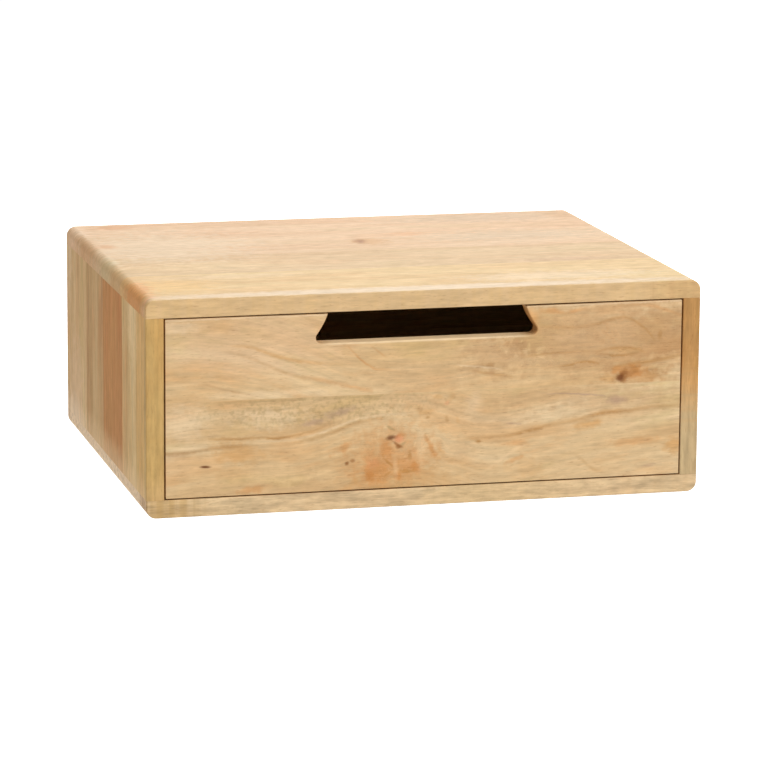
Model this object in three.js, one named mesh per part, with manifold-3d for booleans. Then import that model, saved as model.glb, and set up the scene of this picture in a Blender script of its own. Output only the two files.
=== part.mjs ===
// A floating nightstand in solid mango wood: a wall-hung cabinet of four edge-glued boards with rounded
// long edges, one inset drawer with a flared finger cut-out, and ball-bearing drawer slides inside.
// Units are millimetres. X runs to the right, Y towards the wall and Z up. The origin is the middle of
// the underside, so the front is at -Y and the wall at +Y.

import * as THREE from "three";
import { mergeVertices } from "three/addons/utils/BufferGeometryUtils.js";
import Module from "manifold-3d";

// Cabinet boards
const cabinetWidth = 500;
const cabinetDepth = 400;
const cabinetHeight = 192;
const boardThickness = 16;
const cornerRadius = 9; // the four long edges, seen as round corners from the front
const edgeEase = 1.2; // sanded arris on the outer front and rear edges
const openingEase = 0.5; // sanded arris round the mouth of the opening

// Wooden dowels in the cabinet's corner joints and in the hanging rail
const dowelRadius = 4;
const dowelLength = 28;
const dowelChamfer = 0.8;
const dowelInBoard = 10; // how far a dowel enters the face of a board
const dowelPlay = 0.2;
const dowelEndRoom = 0.6;
const dowelEdgeInset = 48; // from the front or rear edge to the first dowel

// Plywood back in its groove, and the hanging rail behind it
const backPanelThickness = 5;
const backGrooveDepth = 6;
const panelPlay = 0.3;
const railHeight = 60;
const railThickness = 16;

// Keyhole hanger plates let into the rail
const plateWidth = 20;
const plateHeight = 52;
const plateThickness = 2;
const plateCorner = 3;
const plateSetback = 0.2; // how far a plate lies below the rail's rear face
const plateInset = 30.8; // from the side panel to the middle of a plate
const keyholeEntryRadius = 5;
const keyholeSlotWidth = 5.2;
const keyholeTravel = 12; // from the entry's centre up to the seat of the wall screw
const pocketMargin = 2; // room for the wall screw's head round the keyhole
const pocketDepth = 9;

// Wood screws, by their shank and their two kinds of head
const screwRadius = 1.75;
const screwTip = 3;
const screwPlay = 0.15;
const sheetHolePlay = 0.4;
const panHeadRadius = 3.9;
const panHeadHeight = 1.5;
const flatHeadRadius = 3.4;
const flatHeadHeight = 1.7;
const crossArm = 1.9;
const crossWidth = 0.8;
const crossDepth = 1;
const slideScrewLength = 11;
const plateScrewLength = 12;
const bottomScrewLength = 16;

// Drawer front and its finger cut-out
const drawerReveal = 1.2; // the even gap round the drawer front
const frontThickness = 16;
const frontEase = 0.8;
const cutoutTopWidth = 178.4;
const cutoutBottomWidth = 199.6; // at its widest, just above its lower corners
const cutoutHeight = 26.2;
const cutoutCorner = 5;
const cutoutLean = Math.PI / 5; // how far the flared ends lean where they meet the corners
const cutoutRoundover = 3;

// Drawer box
const sideThickness = 12;
const boxBottomRoom = 10; // from the drawer front's lower edge up to the box
const boxTopRoom = 32.5; // from the drawer front's upper edge down to the box
const boxRearRoom = 12.7; // from the box to the plywood back
const drawerBackThickness = 12;
const drawerBackSetback = 4; // from the box's rear edge to the drawer back
const backHousingDepth = 4;
const drawerBottomThickness = 5;
const bottomGrooveDepth = 5;
const bottomGrooveRise = 10; // from the sides' lower edge up to the groove
const boxDowelRadius = 3;
const boxDowelLength = 25;
const boxDowelInFront = 10;
const boxDowelRise = 10.25; // from the drawer bottom up to a front corner's lower dowel
const boxDowelDrop = 25.25; // from the box's upper edge down to its upper dowel
const bottomScrewInset = 90; // from the side to a bottom screw

// Ball-bearing slides: outer member on the cabinet, middle member, inner member on the drawer
const slideHeight = 45;
const slideWidth = 12.7;
const slideSetback = 3; // from the drawer front's rear face to the slide
const slideRearRoom = 9.7; // from the slide to the plywood back
const outerSheet = 1.2;
const middleSheet = 1;
const innerSheet = 1;
const cageSheet = 0.5;
const slideGap = 0.3; // running gap between neighbours in the slide
const outerLipRoom = 2.7; // from the drawer side to the outer member's lip
const middleLipRoom = 1.8;
const lipRise = 1.4; // how far a lip stands beside the balls
const bendRadius = 1.6;
const slideScrewInset = 37; // from each end of a member to its screw
const bumperLength = 6.5;
const bumperHeight = 16;
const ballsInRow = 5;
const cageEndRoom = 18; // spare raceway past each end of a cage when the drawer is fully out
const drawerTravel = 350;

// Release lever in each inner member
const leverThickness = 1.6;
const leverBossRadius = 3.6;
const leverTail = 34; // from the pivot to the tip
const leverTipHalf = 1.5;
const leverScrewRoom = 9; // from the lever's tip to the rear screw's head
const leverPinRadius = 1.5;
const leverPinPlay = 0.25;

// Drawing values
const overrun = 2; // how far a cutter runs past what it cuts
const weldDistance = 1e-4;
const roundSteps = 6; // steps in a quarter of a rounded edge
const pinSides = 12;
const ballSides = 8;
const ballRings = 5;
const roundoverSteps = 3;

// Places worked out from the sizes above
const frontY = -cabinetDepth / 2;
const wallY = cabinetDepth / 2;
const insideX = cabinetWidth / 2 - boardThickness;
const floorZ = boardThickness;
const ceilingZ = cabinetHeight - boardThickness;
const railFrontY = wallY - railThickness;
const backPanelRearY = railFrontY - panelPlay;
const backPanelFrontY = backPanelRearY - backPanelThickness;
const frontRearY = frontY + frontThickness;
const frontHalfWidth = insideX - drawerReveal;
const frontBottomZ = floorZ + drawerReveal;
const frontTopZ = ceilingZ - drawerReveal;
const boxHalfWidth = insideX - slideWidth;
const boxInsideX = boxHalfWidth - sideThickness;
const boxBottomZ = frontBottomZ + boxBottomRoom;
const boxTopZ = frontTopZ - boxTopRoom;
const boxRearY = backPanelFrontY - boxRearRoom;
const drawerBackRearY = boxRearY - drawerBackSetback;
const drawerBackFrontY = drawerBackRearY - drawerBackThickness;
const bottomPanelZ = boxBottomZ + bottomGrooveRise;
const bottomPanelTopZ = bottomPanelZ + drawerBottomThickness;
const slideZ = (boxBottomZ + boxTopZ) / 2;
const slideFrontY = frontRearY + slideSetback;
const slideRearY = backPanelFrontY - slideRearRoom;
const bumperFrontY = slideRearY - bumperLength;
const memberRearY = bumperFrontY - slideGap;

const wasm = await Module();
wasm.setup();

const mangoWood = new THREE.MeshStandardMaterial({ color: 0xd9b584, roughness: 0.5, metalness: 0 });
const drawerWood = new THREE.MeshStandardMaterial({ color: 0xd6b184, roughness: 0.5, metalness: 0 });
const boxWood = new THREE.MeshStandardMaterial({ color: 0xcda774, roughness: 0.65, metalness: 0 });
const plywood = new THREE.MeshStandardMaterial({ color: 0xc9a677, roughness: 0.7, metalness: 0 });
const dowelWood = new THREE.MeshStandardMaterial({ color: 0xd8b98c, roughness: 0.7, metalness: 0 });
const zincSteel = new THREE.MeshStandardMaterial({ color: 0xb9bcc0, roughness: 0.35, metalness: 1 });
const screwSteel = new THREE.MeshStandardMaterial({ color: 0xa9a8a2, roughness: 0.4, metalness: 1 });
const blackPlastic = new THREE.MeshStandardMaterial({ color: 0x1a1a1b, roughness: 0.55, metalness: 0 });

// A closed geometry as a solid that can be cut and joined
function solidOf(geometry) {
  const bare = geometry.index ? geometry.toNonIndexed() : geometry.clone();
  bare.deleteAttribute("normal");
  bare.deleteAttribute("uv");
  const merged = mergeVertices(bare, weldDistance);
  const mesh = new wasm.Mesh({
    numProp: 3,
    vertProperties: merged.getAttribute("position").array,
    triVerts: new Uint32Array(merged.index.array),
  });
  return new wasm.Manifold(mesh);
}

function geometryOf(solid) {
  const mesh = solid.getMesh();
  const geometry = new THREE.BufferGeometry();
  geometry.setAttribute("position", new THREE.BufferAttribute(mesh.vertProperties, 3));
  geometry.setIndex(new THREE.BufferAttribute(mesh.triVerts, 1));
  const faceted = geometry.toNonIndexed();
  faceted.computeVertexNormals();
  return faceted;
}

function cut(solid, cutters) {
  return cutters.reduce((left, cutter) => left.subtract(solidOf(cutter)), solid);
}

function place(name, geometry, material, parent, position = [0, 0, 0], rotation = [0, 0, 0]) {
  const mesh = new THREE.Mesh(geometry, material);
  mesh.name = name;
  mesh.position.set(...position);
  mesh.rotation.set(...rotation);
  parent.add(mesh);
  return mesh;
}

function block(x0, x1, y0, y1, z0, z1) {
  const box = new THREE.BoxGeometry(x1 - x0, y1 - y0, z1 - z0);
  return box.translate((x0 + x1) / 2, (y0 + y1) / 2, (z0 + z1) / 2);
}

// A shape drawn in X and Z, run from y0 to y1, with both ends eased if a size is given
function alongDepth(shape, y0, y1, ease = 0) {
  const geometry = new THREE.ExtrudeGeometry(shape, {
    depth: y1 - y0 - 2 * ease,
    curveSegments: roundSteps,
    bevelEnabled: ease > 0,
    bevelThickness: ease,
    bevelSize: ease,
    bevelOffset: -ease,
    bevelSegments: 2,
  });
  return geometry.rotateX(Math.PI / 2).translate(0, y1 - ease, 0);
}

// A shape drawn in Y and Z, run from x0 to x1
function alongWidth(shape, x0, x1) {
  const geometry = new THREE.ExtrudeGeometry(shape, {
    depth: x1 - x0,
    curveSegments: roundSteps,
    bevelEnabled: false,
  });
  const toWidth = new THREE.Matrix4().makeBasis(
    new THREE.Vector3(0, 1, 0),
    new THREE.Vector3(0, 0, 1),
    new THREE.Vector3(1, 0, 0),
  );
  return geometry.applyMatrix4(toWidth).translate(x0, 0, 0);
}

function roundedRectangle(x0, x1, z0, z1, radius) {
  const shape = new THREE.Shape();
  const quarter = Math.PI / 2;
  shape.absarc(x1 - radius, z0 + radius, radius, -quarter, 0);
  shape.absarc(x1 - radius, z1 - radius, radius, 0, quarter);
  shape.absarc(x0 + radius, z1 - radius, radius, quarter, 2 * quarter);
  shape.absarc(x0 + radius, z0 + radius, radius, 2 * quarter, 3 * quarter);
  shape.closePath();
  return shape;
}

function rectangle(x0, x1, z0, z1) {
  const shape = new THREE.Shape();
  shape.moveTo(x0, z0);
  shape.lineTo(x1, z0);
  shape.lineTo(x1, z1);
  shape.lineTo(x0, z1);
  shape.closePath();
  return shape;
}

// A round bar, or a cutter for its hole, along +Y from its origin
function roundBar(radius, length, chamfer = 0) {
  const profile = [
    new THREE.Vector2(0, 0),
    new THREE.Vector2(radius - chamfer, 0),
    new THREE.Vector2(radius, chamfer),
    new THREE.Vector2(radius, length - chamfer),
    new THREE.Vector2(radius - chamfer, length),
    new THREE.Vector2(0, length),
  ];
  const points = chamfer > 0 ? profile : [profile[0], profile[2], profile[3], profile[5]];
  return new THREE.LatheGeometry(points, pinSides);
}

// Turns that lay a bar made along +Y onto another axis
const alongX = [0, 0, -Math.PI / 2];
const alongMinusX = [0, 0, Math.PI / 2];
const alongY = [0, 0, 0];
const alongMinusY = [Math.PI, 0, 0];
const alongZ = [Math.PI / 2, 0, 0];

function turned(geometry, rotation, position) {
  const matrix = new THREE.Matrix4().makeRotationFromEuler(new THREE.Euler(...rotation));
  matrix.setPosition(...position);
  return geometry.applyMatrix4(matrix);
}

// A hole for a bar that lies at position along rotation, with play round it and room past both ends
function holeFor(radius, length, play, endRoom, rotation, position) {
  const bar = roundBar(radius + play, length + 2 * endRoom).translate(0, -endRoom, 0);
  return turned(bar, rotation, position);
}

// A wood screw whose head's underside lies at its origin, pointing along +Y, with a cross recess
function screwGeometry(length, headRadius, headHeight, countersunk) {
  const profile = [new THREE.Vector2(0, length)];
  profile.push(new THREE.Vector2(screwRadius, length - screwTip));
  profile.push(new THREE.Vector2(screwRadius, 0));
  if (!countersunk) profile.push(new THREE.Vector2(headRadius, 0));
  profile.push(new THREE.Vector2(headRadius, countersunk ? -headHeight : -headHeight / 2));
  if (!countersunk) profile.push(new THREE.Vector2(headRadius - headHeight / 2, -headHeight));
  profile.push(new THREE.Vector2(0, -headHeight));
  profile.reverse();
  const body = solidOf(new THREE.LatheGeometry(profile, pinSides));
  const floor = -headHeight + crossDepth;
  const arms = [
    block(-crossArm, crossArm, -headHeight - overrun, floor, -crossWidth / 2, crossWidth / 2),
    block(-crossWidth / 2, crossWidth / 2, -headHeight - overrun, floor, -crossArm, crossArm),
  ];
  return geometryOf(cut(body, arms));
}

// The cone that a countersunk head needs, from its flat top inwards
function countersink(rotation, position) {
  const profile = [
    new THREE.Vector2(0, -overrun),
    new THREE.Vector2(flatHeadRadius + screwPlay, -overrun),
    new THREE.Vector2(flatHeadRadius + screwPlay, 0),
    new THREE.Vector2(screwRadius + screwPlay, flatHeadHeight),
    new THREE.Vector2(0, flatHeadHeight),
  ];
  return turned(new THREE.LatheGeometry(profile, pinSides), rotation, position);
}

const group = new THREE.Group();
const cabinet = new THREE.Group();
const drawer = new THREE.Group();
group.add(cabinet, drawer);

// Cabinet: one rounded tube of boards, sawn into the four panels
function cabinetShell() {
  const outside = roundedRectangle(-cabinetWidth / 2, cabinetWidth / 2, 0, cabinetHeight, cornerRadius);
  const mouth = rectangle(-insideX, insideX, floorZ, ceilingZ);
  const through = alongDepth(mouth, frontY - overrun, wallY + overrun);
  const arris = new THREE.ExtrudeGeometry(mouth, {
    depth: overrun,
    bevelThickness: openingEase,
    bevelSize: openingEase,
    bevelSegments: 1,
  });
  arris.rotateX(Math.PI / 2).translate(0, frontY, 0);
  const blank = solidOf(alongDepth(outside, frontY, wallY, edgeEase));
  return cut(blank, [through, arris]);
}

// The three dowels of each corner joint, each with its place and the panels that it joins
const cornerDowels = [];
for (const [height, isTop] of [["top", true], ["bottom", false]]) {
  for (const [side, sign] of [["left", -1], ["right", 1]]) {
    const places = [
      ["front", frontY + dowelEdgeInset],
      ["middle", 0],
      ["rear", railFrontY - dowelEdgeInset],
    ];
    for (const [where, y] of places) {
      const x = sign * (cabinetWidth / 2 - boardThickness / 2);
      cornerDowels.push({ name: `dowel_${height}_${side}_${where}`, x, y, isTop, sign });
    }
  }
}

function dowelFoot(dowel) {
  const z = dowel.isTop ? ceilingZ + dowelInBoard - dowelLength : floorZ - dowelInBoard;
  return [dowel.x, dowel.y, z];
}

function railDowelFoot(sign) {
  const x = sign * (insideX + dowelInBoard - dowelLength);
  return [x, wallY - railThickness / 2, ceilingZ - railHeight / 2];
}

function dowelHole(foot, rotation) {
  return holeFor(dowelRadius, dowelLength, dowelPlay, dowelEndRoom, rotation, foot);
}

function slideScrewYs(memberFrontY, memberRear) {
  return [memberFrontY + slideScrewInset, memberRear - slideScrewInset];
}

function backGroove(x0, x1, z0, z1) {
  return block(x0, x1, backPanelFrontY - panelPlay, backPanelRearY + panelPlay, z0, z1);
}

function makeCabinetBoards() {
  const shell = cabinetShell();
  const farX = cabinetWidth / 2 + overrun;
  const nearY = frontY - overrun;
  const farY = wallY + overrun;
  const grooveX = insideX + backGrooveDepth;

  for (const [name, z0, z1, isTop] of [
    ["top_panel", ceilingZ, cabinetHeight + overrun, true],
    ["bottom_panel", -overrun, floorZ, false],
  ]) {
    const board = shell.intersect(solidOf(block(-farX, farX, nearY, farY, z0, z1)));
    const holes = cornerDowels
      .filter((dowel) => dowel.isTop === isTop)
      .map((dowel) => dowelHole(dowelFoot(dowel), alongZ));
    const groove = isTop
      ? backGroove(-grooveX, grooveX, ceilingZ - overrun, ceilingZ + backGrooveDepth)
      : backGroove(-grooveX, grooveX, floorZ - backGrooveDepth, floorZ + overrun);
    place(name, geometryOf(cut(board, [...holes, groove])), mangoWood, cabinet);
  }

  for (const [name, sign] of [["left_side_panel", -1], ["right_side_panel", 1]]) {
    const x0 = sign < 0 ? -farX : 0;
    const x1 = sign < 0 ? 0 : farX;
    const board = shell.intersect(solidOf(block(x0, x1, nearY, farY, floorZ, ceilingZ)));
    const holes = cornerDowels
      .filter((dowel) => dowel.sign === sign)
      .map((dowel) => dowelHole(dowelFoot(dowel), alongZ));
    holes.push(dowelHole(railDowelFoot(sign), sign < 0 ? alongMinusX : alongX));
    const grooveX0 = sign < 0 ? -grooveX : insideX - overrun;
    const grooveX1 = sign < 0 ? -insideX + overrun : grooveX;
    holes.push(backGroove(grooveX0, grooveX1, floorZ - overrun, ceilingZ + overrun));
    for (const y of slideScrewYs(slideFrontY, slideRearY)) {
      const position = [sign * (insideX - outerSheet), y, slideZ];
      const rotation = sign < 0 ? alongMinusX : alongX;
      holes.push(holeFor(screwRadius, slideScrewLength, screwPlay, screwPlay, rotation, position));
    }
    place(name, geometryOf(cut(board, holes)), mangoWood, cabinet);
  }
}

function makeCabinetDowels() {
  const bar = roundBar(dowelRadius, dowelLength, dowelChamfer);
  for (const dowel of cornerDowels) place(dowel.name, bar, dowelWood, cabinet, dowelFoot(dowel), alongZ);
  place("dowel_rail_left", bar, dowelWood, cabinet, railDowelFoot(-1), alongMinusX);
  place("dowel_rail_right", bar, dowelWood, cabinet, railDowelFoot(1), alongX);
}

function makeBackPanel() {
  const halfWidth = insideX + backGrooveDepth - panelPlay;
  const z0 = floorZ - backGrooveDepth + panelPlay;
  const z1 = ceilingZ + backGrooveDepth - panelPlay;
  const panel = block(-halfWidth, halfWidth, backPanelFrontY, backPanelRearY, z0, z1);
  place("back_panel", panel, plywood, cabinet);
}

// Hanging rail with its two keyhole plates, each held by two screws
const plateZ = ceilingZ - railHeight / 2;
const plateRearY = wallY - plateSetback;
const plateScrewRise = (plateHeight / 2 + keyholeTravel / 2 + keyholeEntryRadius) / 2;

function keyholePath() {
  const slotHalf = keyholeSlotWidth / 2;
  const entryZ = -keyholeTravel / 2;
  const mouthAngle = Math.acos(slotHalf / keyholeEntryRadius);
  const path = new THREE.Path();
  path.absarc(0, entryZ, keyholeEntryRadius, Math.PI - mouthAngle, 2 * Math.PI + mouthAngle);
  path.absarc(0, entryZ + keyholeTravel, slotHalf, 0, Math.PI);
  path.closePath();
  return path;
}

function plateGeometry() {
  const outline = roundedRectangle(
    -plateWidth / 2,
    plateWidth / 2,
    -plateHeight / 2,
    plateHeight / 2,
    plateCorner,
  );
  outline.holes.push(keyholePath());
  const plate = solidOf(alongDepth(outline, -plateThickness, 0));
  const holes = [];
  for (const z of [-plateScrewRise, plateScrewRise]) {
    holes.push(countersink(alongMinusY, [0, 0, z]));
    const hole = roundBar(screwRadius + screwPlay, plateThickness + overrun);
    holes.push(turned(hole, alongMinusY, [0, overrun / 2, z]));
  }
  return geometryOf(cut(plate, holes));
}

function makeHangingRail() {
  const rail = solidOf(block(-insideX, insideX, railFrontY, wallY, ceilingZ - railHeight, ceilingZ));
  const cuts = [];
  const seatY = plateRearY - plateThickness;
  const halfWidth = plateWidth / 2 + panelPlay;
  const halfHeight = plateHeight / 2 + panelPlay;
  const pocketHalf = keyholeEntryRadius + pocketMargin;
  const pocketHalfHeight = keyholeTravel / 2 + pocketHalf;
  const plate = plateGeometry();
  const screw = screwGeometry(plateScrewLength, flatHeadRadius, flatHeadHeight, true);
  for (const [side, sign] of [["left", -1], ["right", 1]]) {
    const x = sign * (insideX - plateInset);
    const far = wallY + overrun;
    cuts.push(block(x - halfWidth, x + halfWidth, seatY, far, plateZ - halfHeight, plateZ + halfHeight));
    const pocketY = seatY - pocketDepth;
    const pocketZ0 = plateZ - pocketHalfHeight;
    const pocketZ1 = plateZ + pocketHalfHeight;
    cuts.push(block(x - pocketHalf, x + pocketHalf, pocketY, far, pocketZ0, pocketZ1));
    cuts.push(dowelHole(railDowelFoot(sign), sign < 0 ? alongMinusX : alongX));
    place(`${side}_hanger_plate`, plate, zincSteel, cabinet, [x, plateRearY, plateZ]);
    for (const [where, z] of [["lower", plateZ - plateScrewRise], ["upper", plateZ + plateScrewRise]]) {
      const position = [x, plateRearY - flatHeadHeight, z];
      cuts.push(holeFor(screwRadius, plateScrewLength, screwPlay, screwPlay, alongMinusY, position));
      place(`${side}_hanger_screw_${where}`, screw, screwSteel, cabinet, position, alongMinusY);
    }
  }
  place("hanging_rail", geometryOf(cut(rail, cuts)), mangoWood, cabinet);
}

// The finger cut-out in the drawer front's upper edge, narrower at the top, with hollow flared ends
function cutoutShape() {
  const floor = frontTopZ - cutoutHeight;
  const top = frontTopZ;
  const topHalf = cutoutTopWidth / 2;
  const cornerX = cutoutBottomWidth / 2 - cutoutCorner;
  const cornerZ = floor + cutoutCorner;
  // Where a corner's arc meets the flared end, and the end's control point half way up the tangent there
  const meetX = cornerX + cutoutCorner * Math.cos(cutoutLean);
  const meetZ = cornerZ + cutoutCorner * Math.sin(cutoutLean);
  const controlZ = (meetZ + top) / 2;
  const controlX = meetX - (controlZ - meetZ) * Math.tan(cutoutLean);
  const shape = new THREE.Shape();
  shape.moveTo(-topHalf, top + overrun);
  shape.lineTo(-topHalf, top);
  shape.quadraticCurveTo(-controlX, controlZ, -meetX, meetZ);
  shape.absarc(-cornerX, cornerZ, cutoutCorner, Math.PI - cutoutLean, Math.PI * 1.5, false);
  shape.absarc(cornerX, cornerZ, cutoutCorner, -Math.PI / 2, cutoutLean, false);
  shape.quadraticCurveTo(controlX, controlZ, topHalf, top);
  shape.lineTo(topHalf, top + overrun);
  shape.closePath();
  return shape;
}

// Cutters that round over the cut-out's edge at the front face (side -1) or the rear face (side 1) of the
// drawer front: each step is one chamfer of the quarter round
function roundoverCutters(shape, faceY, radius, side) {
  const cutters = [];
  const angle = (step) => ((Math.PI / 2) * step) / roundoverSteps;
  for (let step = 0; step < roundoverSteps; step += 1) {
    const depth0 = radius * (1 - Math.cos(angle(step)));
    const depth1 = radius * (1 - Math.cos(angle(step + 1)));
    const grow0 = radius * (1 - Math.sin(angle(step)));
    const grow1 = radius * (1 - Math.sin(angle(step + 1)));
    const cutter = new THREE.ExtrudeGeometry(shape, {
      depth: depth0 + overrun,
      curveSegments: roundSteps,
      bevelThickness: depth1 - depth0,
      bevelSize: grow0 - grow1,
      bevelOffset: grow1,
      bevelSegments: 1,
    });
    const y = side < 0 ? faceY + depth0 : faceY + overrun;
    cutters.push(cutter.rotateX(Math.PI / 2).translate(0, y, 0));
  }
  return cutters;
}

// The dowels that join a drawer side to the drawer front
const boxDowels = [];
for (const [side, sign] of [["left", -1], ["right", 1]]) {
  for (const [where, z] of [["lower", bottomPanelTopZ + boxDowelRise], ["upper", boxTopZ - boxDowelDrop]]) {
    const foot = [sign * (boxHalfWidth - sideThickness / 2), frontRearY - boxDowelInFront, z];
    boxDowels.push({ name: `drawer_dowel_${side}_${where}`, sign, foot });
  }
}

function boxDowelHole(dowel) {
  return holeFor(boxDowelRadius, boxDowelLength, dowelPlay, dowelEndRoom, alongY, dowel.foot);
}

function bottomGroove(x0, x1, y0, y1) {
  return block(x0, x1, y0, y1, bottomPanelZ - panelPlay, bottomPanelTopZ + panelPlay);
}

function makeDrawerFront() {
  const outline = rectangle(-frontHalfWidth, frontHalfWidth, frontBottomZ, frontTopZ);
  const front = solidOf(alongDepth(outline, frontY, frontRearY, frontEase));
  const shape = cutoutShape();
  const reach = boxInsideX + bottomGrooveDepth;
  const cutters = [
    alongDepth(shape, frontY - overrun, frontRearY + overrun),
    ...roundoverCutters(shape, frontY, cutoutRoundover, -1),
    ...roundoverCutters(shape, frontRearY, cutoutRoundover, 1),
    ...boxDowels.map(boxDowelHole),
    bottomGroove(-reach, reach, frontRearY - bottomGrooveDepth, frontRearY + overrun),
  ];
  place("drawer_front", geometryOf(cut(front, cutters)), drawerWood, drawer);
}

function makeDrawerSides() {
  for (const [side, sign] of [["left", -1], ["right", 1]]) {
    const x0 = Math.min(sign * boxInsideX, sign * boxHalfWidth);
    const x1 = Math.max(sign * boxInsideX, sign * boxHalfWidth);
    const board = solidOf(block(x0, x1, frontRearY, boxRearY, boxBottomZ, boxTopZ));
    const inner = sign * (boxInsideX - overrun);
    const housing = sign * (boxInsideX + backHousingDepth);
    const groove = sign * (boxInsideX + bottomGrooveDepth);
    const [grooveX0, grooveX1] = [Math.min(inner, groove), Math.max(inner, groove)];
    const [housingX0, housingX1] = [Math.min(inner, housing), Math.max(inner, housing)];
    const housingY0 = drawerBackFrontY - panelPlay;
    const housingY1 = drawerBackRearY + panelPlay;
    const cutters = [
      bottomGroove(grooveX0, grooveX1, frontRearY - overrun, boxRearY + overrun),
      block(housingX0, housingX1, housingY0, housingY1, bottomPanelTopZ, boxTopZ + overrun),
      ...boxDowels.filter((dowel) => dowel.sign === sign).map(boxDowelHole),
    ];
    for (const y of slideScrewYs(slideFrontY, memberRearY)) {
      const position = [sign * (boxHalfWidth + innerSheet), y, slideZ];
      const rotation = sign < 0 ? alongX : alongMinusX;
      cutters.push(holeFor(screwRadius, slideScrewLength, screwPlay, screwPlay, rotation, position));
    }
    place(`drawer_${side}_side`, geometryOf(cut(board, cutters)), boxWood, drawer);
  }
}

function bottomScrewPositions() {
  const x = boxInsideX - bottomScrewInset;
  const y = (drawerBackFrontY + drawerBackRearY) / 2;
  const z = bottomPanelZ + flatHeadHeight;
  return [["left", [-x, y, z]], ["right", [x, y, z]]];
}

function makeDrawerBackAndBottom() {
  const backHalf = boxInsideX + backHousingDepth - panelPlay;
  const back = solidOf(
    block(-backHalf, backHalf, drawerBackFrontY, drawerBackRearY, bottomPanelTopZ + panelPlay, boxTopZ),
  );
  const bottomHalf = boxInsideX + bottomGrooveDepth - panelPlay;
  const bottomFrontY = frontRearY - bottomGrooveDepth + panelPlay;
  const bottom = solidOf(
    block(-bottomHalf, bottomHalf, bottomFrontY, drawerBackRearY, bottomPanelZ, bottomPanelTopZ),
  );
  const shanks = [];
  const heads = [];
  const screw = screwGeometry(bottomScrewLength, flatHeadRadius, flatHeadHeight, true);
  for (const [side, position] of bottomScrewPositions()) {
    shanks.push(holeFor(screwRadius, bottomScrewLength, screwPlay, screwPlay, alongZ, position));
    heads.push(countersink(alongZ, [position[0], position[1], bottomPanelZ]));
    place(`drawer_bottom_screw_${side}`, screw, screwSteel, drawer, position, alongZ);
  }
  place("drawer_back", geometryOf(cut(back, shanks)), boxWood, drawer);
  place("drawer_bottom", geometryOf(cut(bottom, [...shanks, ...heads])), plywood, drawer);
}

function makeDrawerDowels() {
  const bar = roundBar(boxDowelRadius, boxDowelLength, dowelChamfer);
  for (const dowel of boxDowels) place(dowel.name, bar, dowelWood, drawer, dowel.foot, alongY);
}

// Slide sections. They are drawn with X from the cabinet's side towards the drawer, and Z up from the
// slide's middle. The right slide is the left one turned about the vertical middle of its depth axis.
const headRoomX = outerSheet + panHeadHeight + slideGap;
const outerCageX = headRoomX;
const middleX = outerCageX + cageSheet + slideGap;
const innerCageX = middleX + middleSheet + slideGap;
const innerTipX = innerCageX + cageSheet + slideGap;
const innerWebX = slideWidth - innerSheet;
const outerLipX = slideWidth - outerLipRoom;
const middleLipX = slideWidth - middleLipRoom;
const ballRadius = (outerLipX - outerSheet - outerCageX - cageSheet) / 2 - slideGap;
const outerBallX = (outerLipX - outerSheet + outerCageX + cageSheet) / 2;
const innerBallX = (innerTipX + innerWebX) / 2;
const outerBallZ = slideHeight / 2 - outerSheet - slideGap - ballRadius;
const middleHalf = outerBallZ - ballRadius - slideGap;
const innerBallZ = middleHalf - middleSheet - slideGap - ballRadius;
const innerHalf = innerBallZ - ballRadius - slideGap;

// A bent strip of sheet: its middle line, with round bends, given a thickness
function stripShape(points, sheet) {
  const line = new THREE.CurvePath();
  const rounded = [points[0]];
  for (let i = 1; i < points.length - 1; i += 1) {
    const before = points[i].clone().sub(points[i - 1]).normalize();
    const after = points[i + 1].clone().sub(points[i]).normalize();
    const room = Math.min(points[i].distanceTo(points[i - 1]), points[i].distanceTo(points[i + 1])) / 2;
    const reach = Math.min(bendRadius, room);
    const start = points[i].clone().addScaledVector(before, -reach);
    const end = points[i].clone().addScaledVector(after, reach);
    const bend = new THREE.QuadraticBezierCurve(start, points[i], end);
    line.add(bend);
    rounded.push(...bend.getPoints(roundSteps / 2));
  }
  rounded.push(points[points.length - 1]);
  const side = (sign) =>
    rounded.map((point, i) => {
      const back = rounded[Math.max(i - 1, 0)];
      const ahead = rounded[Math.min(i + 1, rounded.length - 1)];
      const along = ahead.clone().sub(back).normalize();
      const across = new THREE.Vector2(-along.y, along.x);
      return point.clone().addScaledVector(across, (sign * sheet) / 2);
    });
  return new THREE.Shape([...side(-1), ...side(1).reverse()]);
}

function mirroredLine(half) {
  const lower = half.map((point) => new THREE.Vector2(point.x, -point.y)).reverse();
  return [...lower, ...half];
}

function outerSection() {
  const webX = outerSheet / 2;
  const flangeZ = slideHeight / 2 - outerSheet / 2;
  const lipX = outerLipX - outerSheet / 2;
  const half = [
    new THREE.Vector2(webX, flangeZ),
    new THREE.Vector2(lipX, flangeZ),
    new THREE.Vector2(lipX, flangeZ - outerSheet - lipRise),
  ];
  return stripShape(mirroredLine(half), outerSheet);
}

function middleSection() {
  const webX = middleX + middleSheet / 2;
  const flangeZ = middleHalf - middleSheet / 2;
  const lipX = middleLipX - middleSheet / 2;
  const half = [
    new THREE.Vector2(webX, flangeZ),
    new THREE.Vector2(lipX, flangeZ),
    new THREE.Vector2(lipX, flangeZ + middleSheet / 2 + lipRise),
  ];
  return stripShape(mirroredLine(half), middleSheet);
}

function innerSection() {
  const webX = slideWidth - innerSheet / 2;
  const flangeZ = innerHalf - innerSheet / 2;
  const half = [new THREE.Vector2(webX, flangeZ), new THREE.Vector2(innerTipX, flangeZ)];
  return stripShape(mirroredLine(half), innerSheet);
}

function cageSection(webStart, ballX, ballZ) {
  const webX = webStart + cageSheet / 2;
  const half = [new THREE.Vector2(webX, ballZ), new THREE.Vector2(ballX + ballRadius, ballZ)];
  return stripShape(mirroredLine(half), cageSheet);
}

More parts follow.
